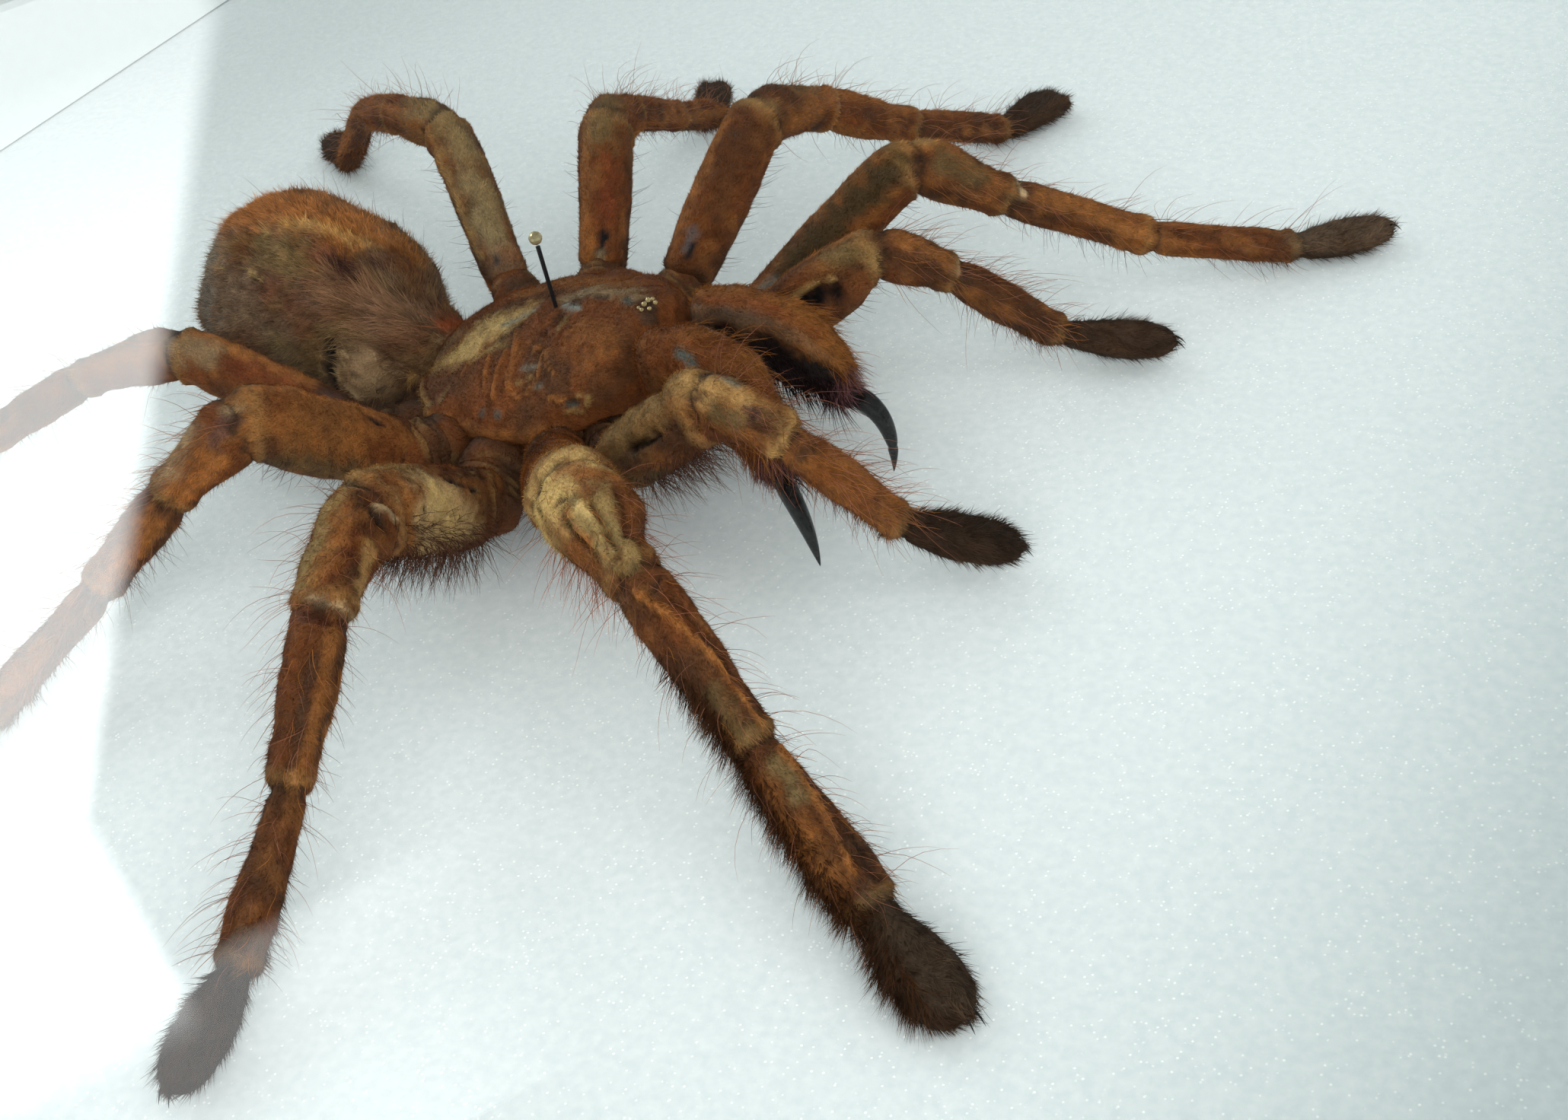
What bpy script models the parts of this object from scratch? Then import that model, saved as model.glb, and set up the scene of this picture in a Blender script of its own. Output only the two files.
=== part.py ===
"""A dried, pinned tarantula in a square glazed shadow-box frame.

The frame lies on its back: +Z points out through the glass, and the origin is the centre of
the frame's back. The spider's head points to +X, so its left side is on +Y.
"""

from math import cos, pi, radians, sin, sqrt

import bmesh
import bpy
from mathutils import Matrix, Vector

MM = 0.001
GAP = 0.3  # mm, left between pieces that touch

# ---- driving dimensions of the frame, in mm
SIGHT = 300.0  # clear opening of the front lip, each way
LIP = 6.0  # how far the lip reaches in over the glass
RAIL_WALL = 14.0  # thickness of a rail's side wall
RAIL_DEPTH = 64.0  # how deep the frame is, back to front
LIP_THICK = 5.8
EDGE_ROUND = 1.2
BACK_RECESS, BACK_THICK = 2.0, 3.0
BOARD_THICK = 10.0
SPACER_WIDE, SPACER_TALL = 4.0, 40.0
GLASS_THICK = 2.0

OPENING = SIGHT + 2 * LIP  # between the inner faces of the side walls
SHEET = OPENING - 2 * GAP  # the sheets that fill the opening
BOARD_BOTTOM = BACK_RECESS + BACK_THICK + GAP
BOARD_TOP = BOARD_BOTTOM + BOARD_THICK
SPACER_BOTTOM = BOARD_TOP + GAP
GLASS_BOTTOM = SPACER_BOTTOM + SPACER_TALL + GAP

# ---- where the spider is: the middle of its carapace, on the top of the board.
# Every size below is measured from there, in mm.
SPIDER_AT = (12.0, 2.0, BOARD_TOP)

# ---- carapace, in sections along the body
CARAPACE = [
    # x, half width, top, rim
    (-17.0, 3.0, 16.2, 14.6),
    (-16.0, 6.4, 17.2, 14.4),
    (-13.5, 9.8, 18.5, 14.2),
    (-9.0, 13.3, 20.5, 14.2),
    (-3.0, 15.8, 22.2, 14.4),
    (3.0, 15.9, 23.2, 14.6),
    (8.0, 14.6, 24.2, 15.0),
    (12.0, 12.0, 24.8, 15.6),
    (15.0, 9.0, 24.4, 16.4),
    (16.8, 6.6, 22.0, 17.2),
]
CARAPACE_UNDER = 2.6  # how far the rim curls under
STERNUM = [
    # x, half width, top, bottom
    (-16.0, 4.0, 15.6, 9.6),
    (-13.0, 8.0, 16.5, 7.6),
    (-4.0, 10.5, 16.5, 6.8),
    (6.0, 10.0, 16.5, 6.8),
    (12.5, 8.0, 17.0, 8.0),
    (15.5, 5.5, 17.0, 10.0),
]
EYE_TUBERCLE = (13.6, 0.0, 24.6)
EYE_TUBERCLE_HALF = (1.9, 2.3, 1.5)
COXA_ROOT = 0.45  # share of the way out to the leg at which a coxa starts
COXA_ROOT_HIGH = 11.5
COXA_HALF, PALP_COXA_HALF = 3.6, 2.9
COXA_SWELL = [(0.0, 0.8), (0.5, 1.0), (0.85, 0.98), (1.0, 0.82)]  # share of length, of size

# ---- abdomen: an egg on a narrow stalk
ABDOMEN = [
    # x, half width, half height, centre height
    (-17.8, 1.6, 1.8, 15.0),
    (-19.6, 3.4, 4.0, 15.4),
    (-21.8, 6.2, 7.2, 16.2),
    (-25.2, 9.2, 9.9, 17.0),
    (-30.2, 11.6, 11.7, 17.8),
    (-36.2, 12.6, 12.5, 18.2),
    (-42.2, 12.2, 12.3, 18.2),
    (-47.2, 10.6, 11.0, 17.8),
    (-51.2, 8.0, 8.8, 17.0),
    (-53.8, 5.2, 6.0, 16.2),
    (-55.2, 2.4, 2.8, 15.6),
]
SPINNERET_AT = (-53.6, 2.6, 10.0)
SPINNERET_WAY = (-1.0, 0.25, -0.15)
SPINNERET_LONG, SPINNERET_HALF = 6.0, 1.1
SPINNERET_SWELL = [(0.0, 0.8), (0.25, 1.0), (0.6, 0.9), (0.9, 0.6), (1.0, 0.3)]

# ---- chelicerae: points on the centre line, with half width and half height
CHELICERAE = {
    "chelicera_left": [
        ((18.0, 5.2, 18.4), 3.4, 4.2),
        ((19.6, 5.3, 18.8), 4.1, 5.3),
        ((24.4, 5.6, 18.8), 4.2, 5.6),
        ((28.8, 5.9, 17.6), 4.1, 5.4),
        ((31.6, 6.2, 15.7), 3.7, 4.7),
        ((33.4, 6.4, 13.9), 3.0, 3.8),
        ((34.2, 6.5, 12.5), 1.9, 2.5),
    ],
    "chelicera_right": [
        ((18.0, -4.8, 18.8), 3.4, 4.2),
        ((19.6, -5.0, 19.2), 4.1, 5.4),
        ((24.6, -5.4, 19.8), 4.3, 6.0),
        ((29.0, -6.2, 18.8), 4.2, 5.9),
        ((32.2, -7.4, 16.6), 3.8, 5.0),
        ((33.8, -8.4, 14.4), 3.0, 3.9),
        ((34.6, -9.0, 13.0), 1.9, 2.6),
    ],
}

# ---- fangs: each a cubic curve from its base, over two handles, to its tip
FANGS = {
    "fang_left": [(35.4, 6.6, 11.8), (38.6, 7.0, 10.8), (40.2, 7.0, 7.0), (39.0, 6.8, 1.4)],
    "fang_right": [(35.6, -9.9, 12.2), (38.4, -11.6, 10.4), (40.0, -12.4, 7.0), (40.4, -12.6, 3.0)],
}
FANG_HALF = 1.35
FANG_FLAT = 0.8  # its width as a share of its height
FANG_STEPS = 9
FANG_TIP = 0.03  # the tip's section area as a share of the base's

# ---- limbs. Femur, patella, tibia, metatarsus and tarsus; a palp has no metatarsus.
LEG_LENGTHS = {
    1: (26.5, 14.5, 20.0, 18.8, 12.6),
    2: (24.0, 14.8, 17.5, 17.7, 12.1),
    3: (21.2, 12.6, 15.9, 19.2, 11.1),
    4: (26.5, 14.8, 21.3, 26.2, 12.1),
}
PALP_LENGTHS = (19.2, 10.0, 16.2, 13.6)

# Where each limb leaves its coxa, then for each segment its bearing, from the head outwards
# on the limb's own side, and its pitch above the board.
LEGS = {
    "leg_1_left": ((16.5, 17, 12.5), (40, 53, 39, 34, 43), (36, -39, -32, -16, -4)),
    "leg_2_left": ((3.5, 20.5, 13), (84, 86, 72, 69, 68), (33, -23, -34, -26, -8)),
    "leg_3_left": ((-8, 19.5, 13.5), (114, 114, 102, 108, 126), (34, -20, -30, -27, -2)),
    "leg_4_left": ((-18, 13.5, 14), (140, 161, 148, 152, 143), (29, -6, -19, -37, -2)),
    "leg_1_right": ((11, -17, 14), (46, 27, 25, 25, 26), (26, -6, -32, -25, -17)),
    "leg_2_right": ((3, -21.5, 10), (82, 65, 77, 76, 86), (37, -5, -34, -24, -14)),
    "leg_3_right": ((-10, -19, 13), (112, 140, 144, 98, 96), (40, -32, -40, -16, -8)),
    "leg_4_right": ((-17, -16.5, 11), (170, 157, 165, 162, 164), (27, -10, -27, -12, -9)),
}
PALPS = {
    "palp_left": ((18.5, 11.5, 13.5), (29, 41, 36, 19), (28, -34, -44, -8)),
    "palp_right": ((17, -14, 14), (4, 6, -29, -35), (36, -13, -52, -27)),
}

# Half width and half height at shares of each segment's length, and at each joint.
FEMUR = [(0.2, 3.1, 3.6), (0.5, 3.3, 3.9), (0.78, 3.3, 3.7)]
PATELLA = [(0.5, 3.0, 3.1)]
TIBIA = [(0.3, 2.5, 2.6), (0.55, 2.5, 2.5), (0.8, 2.4, 2.5)]
METATARSUS = [(0.3, 1.8, 1.8), (0.55, 2.1, 1.9), (0.8, 2.4, 2.0)]
TARSUS = [(0.3, 2.6, 1.9), (0.6, 2.8, 1.9), (0.85, 2.5, 1.7), (0.97, 1.5, 1.1)]
LEG_SECTIONS = (FEMUR, PATELLA, TIBIA, METATARSUS, TARSUS)
LEG_JOINTS = ((3.1, 3.4), (2.4, 2.5), (1.8, 1.9), (1.8, 1.7))
PALP_FEMUR = [(0.2, 2.7, 3.2), (0.5, 2.8, 3.4), (0.78, 2.8, 3.2)]
PALP_PATELLA = [(0.5, 2.6, 2.8)]
PALP_TIBIA = [(0.3, 2.3, 2.4), (0.55, 2.3, 2.4), (0.8, 2.2, 2.3)]
PALP_TARSUS = [(0.3, 2.4, 2.1), (0.6, 2.6, 2.2), (0.85, 2.4, 1.9), (0.97, 1.5, 1.1)]
PALP_SECTIONS = (PALP_FEMUR, PALP_PATELLA, PALP_TIBIA, PALP_TARSUS)
PALP_JOINTS = ((2.6, 3.0), (2.1, 2.2), (1.7, 1.7))
# How stout each limb is beside these sections.
STOUT = {
    "leg_1_left": 0.96,
    "leg_2_left": 1.06,
    "leg_3_left": 1.02,
    "leg_4_left": 0.94,
    "leg_1_right": 1.14,
    "leg_2_right": 1.1,
    "leg_3_right": 1.08,
    "leg_4_right": 0.96,
    "palp_left": 1.0,
    "palp_right": 1.0,
}
ROOT_LONG, ROOT_TAPER = 1.3, 0.87  # the rounded start against the coxa
BEND_SHARE, BEND_REACH = 0.22, 0.8  # how far a bend runs: share of the segment, plus mm
BEND_CUT = 0.5  # how far the bend cuts its corner
BEND_SHOULDER = 1.05
FOOT_CLEAR = 0.35  # mm above the board

# ---- the pin through the carapace
PIN_AT = (1.3, 0.0)
PIN_HALF = 0.28
PIN_POINT = 0.4  # the point's radius as a share of the shaft's
PIN_TOP = 30.6
PIN_IN_BOARD = 8.0
PIN_HEAD_HALF = 0.8
PIN_HOLE_HALF = PIN_HALF + GAP

LIMB_SIDES = 10
SMALL_SIDES = 8
CHELICERA_SIDES = 14
BODY_SIDES = 20
STERNUM_SIDES = 12
PIN_SIDES = 12

MATERIALS = {
    # colour, roughness, metallic
    "white_paint": ((0.86, 0.86, 0.84), 0.45, 0.0),
    "hardboard": ((0.34, 0.21, 0.12), 0.8, 0.0),
    "white_foam": ((0.86, 0.89, 0.90), 0.7, 0.0),
    "clear_glass": ((0.93, 0.97, 0.96), 0.03, 0.0),
    "rust_hair": ((0.30, 0.10, 0.028), 0.8, 0.0),
    "brown_hair": ((0.16, 0.085, 0.045), 0.85, 0.0),
    "black_horn": ((0.010, 0.012, 0.015), 0.18, 0.0),
    "black_steel": ((0.02, 0.02, 0.022), 0.35, 0.7),
    "gold_bead": ((0.75, 0.62, 0.30), 0.25, 1.0),
}
GLASS_IOR = 1.5


# ---------------------------------------------------------------- making objects


def clear_scene():
    for obj in list(bpy.data.objects):
        bpy.data.objects.remove(obj, do_unlink=True)


def new_collection(name):
    collection = bpy.data.collections.new(name)
    bpy.context.scene.collection.children.link(collection)
    return collection


def add_empty(name, location, parent=None):
    empty = bpy.data.objects.new(name, None)
    empty.location = Vector(location) * MM
    empty.parent = parent
    PARTS.objects.link(empty)
    return empty


def get_material(name):
    if name in bpy.data.materials:
        return bpy.data.materials[name]
    colour, roughness, metallic = MATERIALS[name]
    made = bpy.data.materials.new(name)
    made.use_nodes = True
    shader = made.node_tree.nodes["Principled BSDF"]
    shader.inputs["Base Color"].default_value = (*colour, 1.0)
    shader.inputs["Roughness"].default_value = roughness
    shader.inputs["Metallic"].default_value = metallic
    if name == "clear_glass":
        shader.inputs["Transmission Weight"].default_value = 1.0
        shader.inputs["IOR"].default_value = GLASS_IOR
    return made


def add_object(name, bm, material_name, parent, location=(0, 0, 0)):
    """An object from a bmesh in mm, at a location in mm under its parent."""
    bmesh.ops.recalc_face_normals(bm, faces=bm.faces)
    mesh = bpy.data.meshes.new(name)
    bm.to_mesh(mesh)
    bm.free()
    mesh.transform(Matrix.Scale(MM, 4))
    mesh.materials.append(get_material(material_name))
    mesh.shade_smooth()
    mesh.set_sharp_from_angle(angle=radians(40))
    obj = bpy.data.objects.new(name, mesh)
    obj.parent = parent
    obj.location = Vector(location) * MM
    PARTS.objects.link(obj)
    return obj


def make_cutter(obj):
    """Keep an object only as the second shape of a Boolean."""
    PARTS.objects.unlink(obj)
    CUTTERS.objects.link(obj)
    obj.hide_render = True
    obj.display_type = "WIRE"


def add_boolean(obj, other, operation):
    make_cutter(other)
    modifier = obj.modifiers.new(other.name, "BOOLEAN")
    modifier.operation = operation
    modifier.object = other
    modifier.solver = "EXACT"


def add_box(name, size, centre, material_name, parent):
    bm = bmesh.new()
    bmesh.ops.create_cube(bm, size=1, matrix=Matrix.Diagonal((*size, 1)))
    return add_object(name, bm, material_name, parent, centre)


def add_rod(name, half_low, half_high, low, high, material_name, parent, at):
    """An upright round rod, its origin at its lower end."""
    bm = bmesh.new()
    bmesh.ops.create_cone(
        bm,
        cap_ends=True,
        segments=PIN_SIDES,
        radius1=half_low,
        radius2=half_high,
        depth=high - low,
        matrix=Matrix.Translation((0, 0, (high - low) / 2)),
    )
    return add_object(name, bm, material_name, parent, (*at, low))


# ---------------------------------------------------------------- lofts


def ellipse(centre, along, half_wide, half_tall):
    """The matrix that makes a unit circle an ellipse across `along`, with its top upwards."""
    along = along.normalized()
    side = Vector((0, 0, 1)).cross(along).normalized()
    top = along.cross(side)
    return Matrix(
        (
            (side.x * half_wide, top.x * half_tall, along.x, centre.x),
            (side.y * half_wide, top.y * half_tall, along.y, centre.y),
            (side.z * half_wide, top.z * half_tall, along.z, centre.z),
            (0, 0, 0, 1),
        )
    )


def loft(rings, sides, lower=None):
    """A closed skin over ellipses. `lower` holds each ring's lower half height as a share of
    its upper one."""
    bm = bmesh.new()
    first = None
    earlier = []
    for i, matrix in enumerate(rings):
        verts = bmesh.ops.create_circle(bm, cap_ends=False, radius=1, segments=sides)["verts"]
        for vert in verts:
            if lower and vert.co.y < 0:
                vert.co.y *= lower[i]
            vert.co = matrix @ vert.co
        edges = list({edge for vert in verts for edge in vert.link_edges})
        if earlier:
            bmesh.ops.bridge_loops(bm, edges=earlier + edges)
        else:
            first = edges
        earlier = edges
    for edges in (first, earlier):
        bmesh.ops.contextual_create(bm, geom=edges)
    return bm


def spindle(along, half, swell, sides):
    """A round bar from the origin along a vector, swelling by shares of its length."""
    return loft([ellipse(along * share, along, half * size, half * size) for share, size in swell], sides)


def directions(points):
    """The direction of travel at each of a line's points."""
    last = len(points) - 1
    return [points[min(i + 1, last)] - points[max(i - 1, 0)] for i in range(len(points))]


# ---------------------------------------------------------------- frame


def add_rail(name, turn, frame):
    """One mitred rail: its L-shaped section runs along X on the -Y side, then turns about Z."""
    inner = OPENING / 2
    outer = inner + RAIL_WALL
    lip_inner = SIGHT / 2
    lip_bottom = RAIL_DEPTH - LIP_THICK
    section = [
        (outer, 0.0),
        (outer, RAIL_DEPTH),
        (lip_inner, RAIL_DEPTH),
        (lip_inner, lip_bottom),
        (inner, lip_bottom),
        (inner, 0.0),
    ]
    bm = bmesh.new()
    ends = []
    for end in (-1, 1):
        corners = [bm.verts.new((end * (out - GAP / 2), -out, z)) for out, z in section]
        ends.append(bm.faces.new(corners))
    bmesh.ops.bridge_loops(bm, edges=[edge for face in ends for edge in face.edges])
    rail = add_object(name, bm, "white_paint", frame)
    rail.rotation_euler.z = turn
    rounding = rail.modifiers.new("rounded edges", "BEVEL")
    rounding.width = EDGE_ROUND * MM
    rounding.segments = 2
    rounding.limit_method = "ANGLE"
    rounding.angle_limit = radians(60)


def add_spacers(frame):
    """Four upright strips that hold the glass off the board, two long and two between them."""
    middle = SPACER_BOTTOM + SPACER_TALL / 2
    out = (SHEET - SPACER_WIDE) / 2
    short = SHEET - 2 * (SPACER_WIDE + GAP)
    for name, side in (("spacer_front", -1), ("spacer_back", 1)):
        add_box(name, (SHEET, SPACER_WIDE, SPACER_TALL), (0, side * out, middle), "white_foam", frame)
    for name, side in (("spacer_left", -1), ("spacer_right", 1)):
        add_box(name, (SPACER_WIDE, short, SPACER_TALL), (side * out, 0, middle), "white_foam", frame)


def add_sheet(name, bottom, thick, material_name, frame):
    return add_box(name, (SHEET, SHEET, thick), (0, 0, bottom + thick / 2), material_name, frame)


# ---------------------------------------------------------------- body


def coxa_line(base):
    """A coxa's root under the carapace, and the vector out to its end at `base`."""
    root = Vector((base[0] * COXA_ROOT, base[1] * COXA_ROOT, COXA_ROOT_HIGH))
    return root, Vector(base) - root


def add_cephalothorax(spider):
    """Carapace, sternum, eye tubercle and coxae, grown together as one piece."""
    forward = Vector((1, 0, 0))
    rings = [
        ellipse(Vector((x, 0, rim)), forward, half_wide, top - rim)
        for x, half_wide, top, rim in CARAPACE
    ]
    lower = [CARAPACE_UNDER / (top - rim) for _, _, top, rim in CARAPACE]
    body = add_object("cephalothorax", loft(rings, BODY_SIDES, lower), "rust_hair", spider)
    rings = [
        ellipse(Vector((x, 0, (top + bottom) / 2)), forward, half_wide, (top - bottom) / 2)
        for x, half_wide, top, bottom in STERNUM
    ]
    joined = [add_object("sternum_form", loft(rings, STERNUM_SIDES), "rust_hair", spider)]
    bm = bmesh.new()
    size = Matrix.Diagonal((*EYE_TUBERCLE_HALF, 1))
    bmesh.ops.create_uvsphere(bm, u_segments=10, v_segments=6, radius=1, matrix=size)
    joined.append(add_object("eye_form", bm, "rust_hair", spider, EYE_TUBERCLE))
    for name, (base, _, _) in {**LEGS, **PALPS}.items():
        root, along = coxa_line(base)
        half = PALP_COXA_HALF if name in PALPS else COXA_HALF
        bm = spindle(along, half, COXA_SWELL, SMALL_SIDES)
        joined.append(add_object("coxa_form_" + name, bm, "rust_hair", spider, root))
    for form in joined:
        add_boolean(body, form, "UNION")
    return body


def add_abdomen(spider):
    start = Vector((ABDOMEN[0][0], 0, ABDOMEN[0][3]))
    backward = Vector((-1, 0, 0))
    rings = [
        ellipse(Vector((x, 0, height)) - start, backward, half_wide, half_tall)
        for x, half_wide, half_tall, height in ABDOMEN
    ]
    add_object("abdomen", loft(rings, BODY_SIDES), "brown_hair", spider, start)
    x, y, z = SPINNERET_AT
    along = Vector(SPINNERET_WAY).normalized() * SPINNERET_LONG
    for name, side in (("spinneret_left", 1), ("spinneret_right", -1)):
        way = Vector((along.x, side * along.y, along.z))
        bm = spindle(way, SPINNERET_HALF, SPINNERET_SWELL, SMALL_SIDES)
        add_object(name, bm, "brown_hair", spider, (x, side * y, z))


def add_chelicerae(spider):
    for name, line in CHELICERAE.items():
        start = Vector(line[0][0])
        points = [Vector(point) - start for point, _, _ in line]
        rings = [
            ellipse(point, way, half_wide, half_tall)
            for point, way, (_, half_wide, half_tall) in zip(points, directions(points), line)
        ]
        add_object(name, loft(rings, CHELICERA_SIDES), "rust_hair", spider, start)


def bezier(corners, t):
    """The point at share t of a cubic curve."""
    a, b, c, d = corners
    ab, bc, cd = a.lerp(b, t), b.lerp(c, t), c.lerp(d, t)
    return ab.lerp(bc, t).lerp(bc.lerp(cd, t), t)


def add_fangs(spider):
    for name, corners in FANGS.items():
        start = Vector(corners[0])
        curve = [Vector(corner) - start for corner in corners]
        points = [bezier(curve, i / FANG_STEPS) for i in range(FANG_STEPS + 1)]
        rings = []
        for i, (point, way) in enumerate(zip(points, directions(points))):
            half = FANG_HALF * sqrt(1 - (1 - FANG_TIP) * i / FANG_STEPS)
            rings.append(ellipse(point, way, half * FANG_FLAT, half))
        add_object(name, loft(rings, SMALL_SIDES), "black_horn", spider, start)


# ---------------------------------------------------------------- limbs


def limb_joints(side, base, lengths, bearings, pitches):
    """The joints of a limb on one side (1 left, -1 right), from its coxa to its tip."""
    joints = [Vector(base)]
    for length, bearing, pitch in zip(lengths, bearings, pitches):
        b, p = radians(bearing), radians(pitch)
        way = Vector((cos(b) * cos(p), side * sin(b) * cos(p), sin(p)))
        joints.append(joints[-1] + way * length)
    return joints


def bend(corner, before, after, size):
    """Three sections that round the corner between two segments."""
    ways = before.normalized(), after.normalized()
    reach = min(BEND_SHARE * way.length + BEND_REACH for way in (before, after))
    start, end = corner - ways[0] * reach, corner + ways[1] * reach
    middle = corner.lerp((start + end) / 2, BEND_CUT)
    wide, tall = size
    return [
        (start, ways[0], wide * BEND_SHOULDER, tall * BEND_SHOULDER),
        (middle, ways[0] + ways[1], wide, tall),
        (end, ways[1], wide * BEND_SHOULDER, tall * BEND_SHOULDER),
    ]


def limb_sections(joints, sections, joint_sizes):
    """Each section's centre, direction, half width and half height, from coxa to tip."""
    _, out = coxa_line(joints[0])
    out.normalize()
    start = joints[0] + out * GAP
    _, wide, tall = sections[0][0]
    line = [
        (start, out, wide * ROOT_TAPER, tall * ROOT_TAPER),
        (start + out * ROOT_LONG, out, wide, tall),
    ]
    for i, segment in enumerate(sections):
        along = joints[i + 1] - joints[i]
        line += [(joints[i] + along * share, along, w, t) for share, w, t in segment]
        if i < len(joint_sizes):
            line += bend(joints[i + 1], along, joints[i + 2] - joints[i + 1], joint_sizes[i])
    return line


def add_limb(name, spider, pose, lengths, sections, joint_sizes):
    side = 1 if name.endswith("left") else -1
    base, bearings, pitches = pose
    joints = limb_joints(side, base, lengths, bearings, pitches)
    stout = STOUT[name]
    rings = []
    for centre, way, wide, tall in limb_sections(joints, sections, joint_sizes):
        wide, tall = wide * stout, tall * stout
        lowest = FOOT_CLEAR + tall * sqrt(1 - way.normalized().z ** 2)
        centre = Vector((centre.x, centre.y, max(centre.z, lowest)))
        rings.append(ellipse(centre - joints[0], way, wide, tall))
    add_object(name, loft(rings, LIMB_SIDES), "rust_hair", spider, base)


def add_limbs(spider):
    for name, pose in LEGS.items():
        pair = int(name.split("_")[1])
        add_limb(name, spider, pose, LEG_LENGTHS[pair], LEG_SECTIONS, LEG_JOINTS)
    for name, pose in PALPS.items():
        add_limb(name, spider, pose, PALP_LENGTHS, PALP_SECTIONS, PALP_JOINTS)


# ---------------------------------------------------------------- pin


def add_pin(spider, body, board):
    """A black insect pin with a gold bead, in clearance holes through carapace and board."""
    point = -PIN_IN_BOARD
    add_rod(
        "pin_shaft", PIN_HALF * PIN_POINT, PIN_HALF, point, PIN_TOP, "black_steel", spider, PIN_AT
    )
    bm = bmesh.new()
    bmesh.ops.create_uvsphere(bm, u_segments=14, v_segments=8, radius=PIN_HEAD_HALF)
    head_at = (*PIN_AT, PIN_TOP + GAP + PIN_HEAD_HALF)
    add_object("pin_head", bm, "gold_bead", spider, head_at)
    for name, pierced, low, high in (
        ("pin_hole_body", body, 0.0, PIN_TOP),
        ("pin_hole_board", board, point - GAP, GAP),
    ):
        hole = add_rod(name, PIN_HOLE_HALF, PIN_HOLE_HALF, low, high, "black_steel", spider, PIN_AT)
        add_boolean(pierced, hole, "DIFFERENCE")


clear_scene()
PARTS = new_collection("framed tarantula specimen")
CUTTERS = new_collection("cutters")

FRAME = add_empty("frame", (0, 0, 0))
add_rail("frame_rail_front", 0, FRAME)
add_rail("frame_rail_right", pi / 2, FRAME)
add_rail("frame_rail_back", pi, FRAME)
add_rail("frame_rail_left", -pi / 2, FRAME)
add_sheet("back_panel", BACK_RECESS, BACK_THICK, "hardboard", FRAME)
BOARD = add_sheet("mounting_board", BOARD_BOTTOM, BOARD_THICK, "white_foam", FRAME)
add_spacers(FRAME)
add_sheet("glass_pane", GLASS_BOTTOM, GLASS_THICK, "clear_glass", FRAME)

SPIDER = add_empty("spider", SPIDER_AT, FRAME)
BODY = add_cephalothorax(SPIDER)
add_abdomen(SPIDER)
add_chelicerae(SPIDER)
add_fangs(SPIDER)
add_limbs(SPIDER)
add_pin(SPIDER, BODY, BOARD)
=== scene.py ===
from math import cos, pi, radians, sin, sqrt

import bpy
import numpy as np
from mathutils import Matrix, Vector


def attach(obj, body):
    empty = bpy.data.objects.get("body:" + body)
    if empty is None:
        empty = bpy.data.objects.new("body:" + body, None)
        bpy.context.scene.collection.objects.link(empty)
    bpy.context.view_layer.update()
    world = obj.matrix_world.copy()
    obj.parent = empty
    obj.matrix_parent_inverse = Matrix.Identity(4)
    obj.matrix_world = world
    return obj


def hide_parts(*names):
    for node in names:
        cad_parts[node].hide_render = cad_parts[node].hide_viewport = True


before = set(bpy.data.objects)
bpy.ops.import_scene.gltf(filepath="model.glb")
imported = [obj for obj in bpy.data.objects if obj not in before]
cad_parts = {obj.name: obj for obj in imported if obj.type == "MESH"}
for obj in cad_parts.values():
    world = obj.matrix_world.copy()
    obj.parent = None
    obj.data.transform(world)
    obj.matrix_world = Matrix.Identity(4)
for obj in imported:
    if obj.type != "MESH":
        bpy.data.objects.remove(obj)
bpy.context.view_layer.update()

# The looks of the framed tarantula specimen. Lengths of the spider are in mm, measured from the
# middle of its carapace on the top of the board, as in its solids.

MM = 0.001
SPIDER_AT = np.array((12.0, 2.0, 15.3))

# ---- the forms of the solids
CARAPACE = [
    # x, half width, top, rim
    (-17.0, 3.0, 16.2, 14.6),
    (-16.0, 6.4, 17.2, 14.4),
    (-13.5, 9.8, 18.5, 14.2),
    (-9.0, 13.3, 20.5, 14.2),
    (-3.0, 15.8, 22.2, 14.4),
    (3.0, 15.9, 23.2, 14.6),
    (8.0, 14.6, 24.2, 15.0),
    (12.0, 12.0, 24.8, 15.6),
    (15.0, 9.0, 24.4, 16.4),
    (16.8, 6.6, 22.0, 17.2),
]
CARAPACE_UNDER = 2.6
STERNUM = [
    # x, half width, top, bottom
    (-16.0, 4.0, 15.6, 9.6),
    (-13.0, 8.0, 16.5, 7.6),
    (-4.0, 10.5, 16.5, 6.8),
    (6.0, 10.0, 16.5, 6.8),
    (12.5, 8.0, 17.0, 8.0),
    (15.5, 5.5, 17.0, 10.0),
]
ABDOMEN = [
    # x, half width, half height, centre height
    (-17.8, 1.6, 1.8, 15.0),
    (-19.6, 3.4, 4.0, 15.4),
    (-21.8, 6.2, 7.2, 16.2),
    (-25.2, 9.2, 9.9, 17.0),
    (-30.2, 11.6, 11.7, 17.8),
    (-36.2, 12.6, 12.5, 18.2),
    (-42.2, 12.2, 12.3, 18.2),
    (-47.2, 10.6, 11.0, 17.8),
    (-51.2, 8.0, 8.8, 17.0),
    (-53.8, 5.2, 6.0, 16.2),
    (-55.2, 2.4, 2.8, 15.6),
]
SPINNERET_AT = np.array((-53.6, 2.6, 10.0))
SPINNERET_WAY = np.array((-1.0, 0.25, -0.15))
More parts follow.
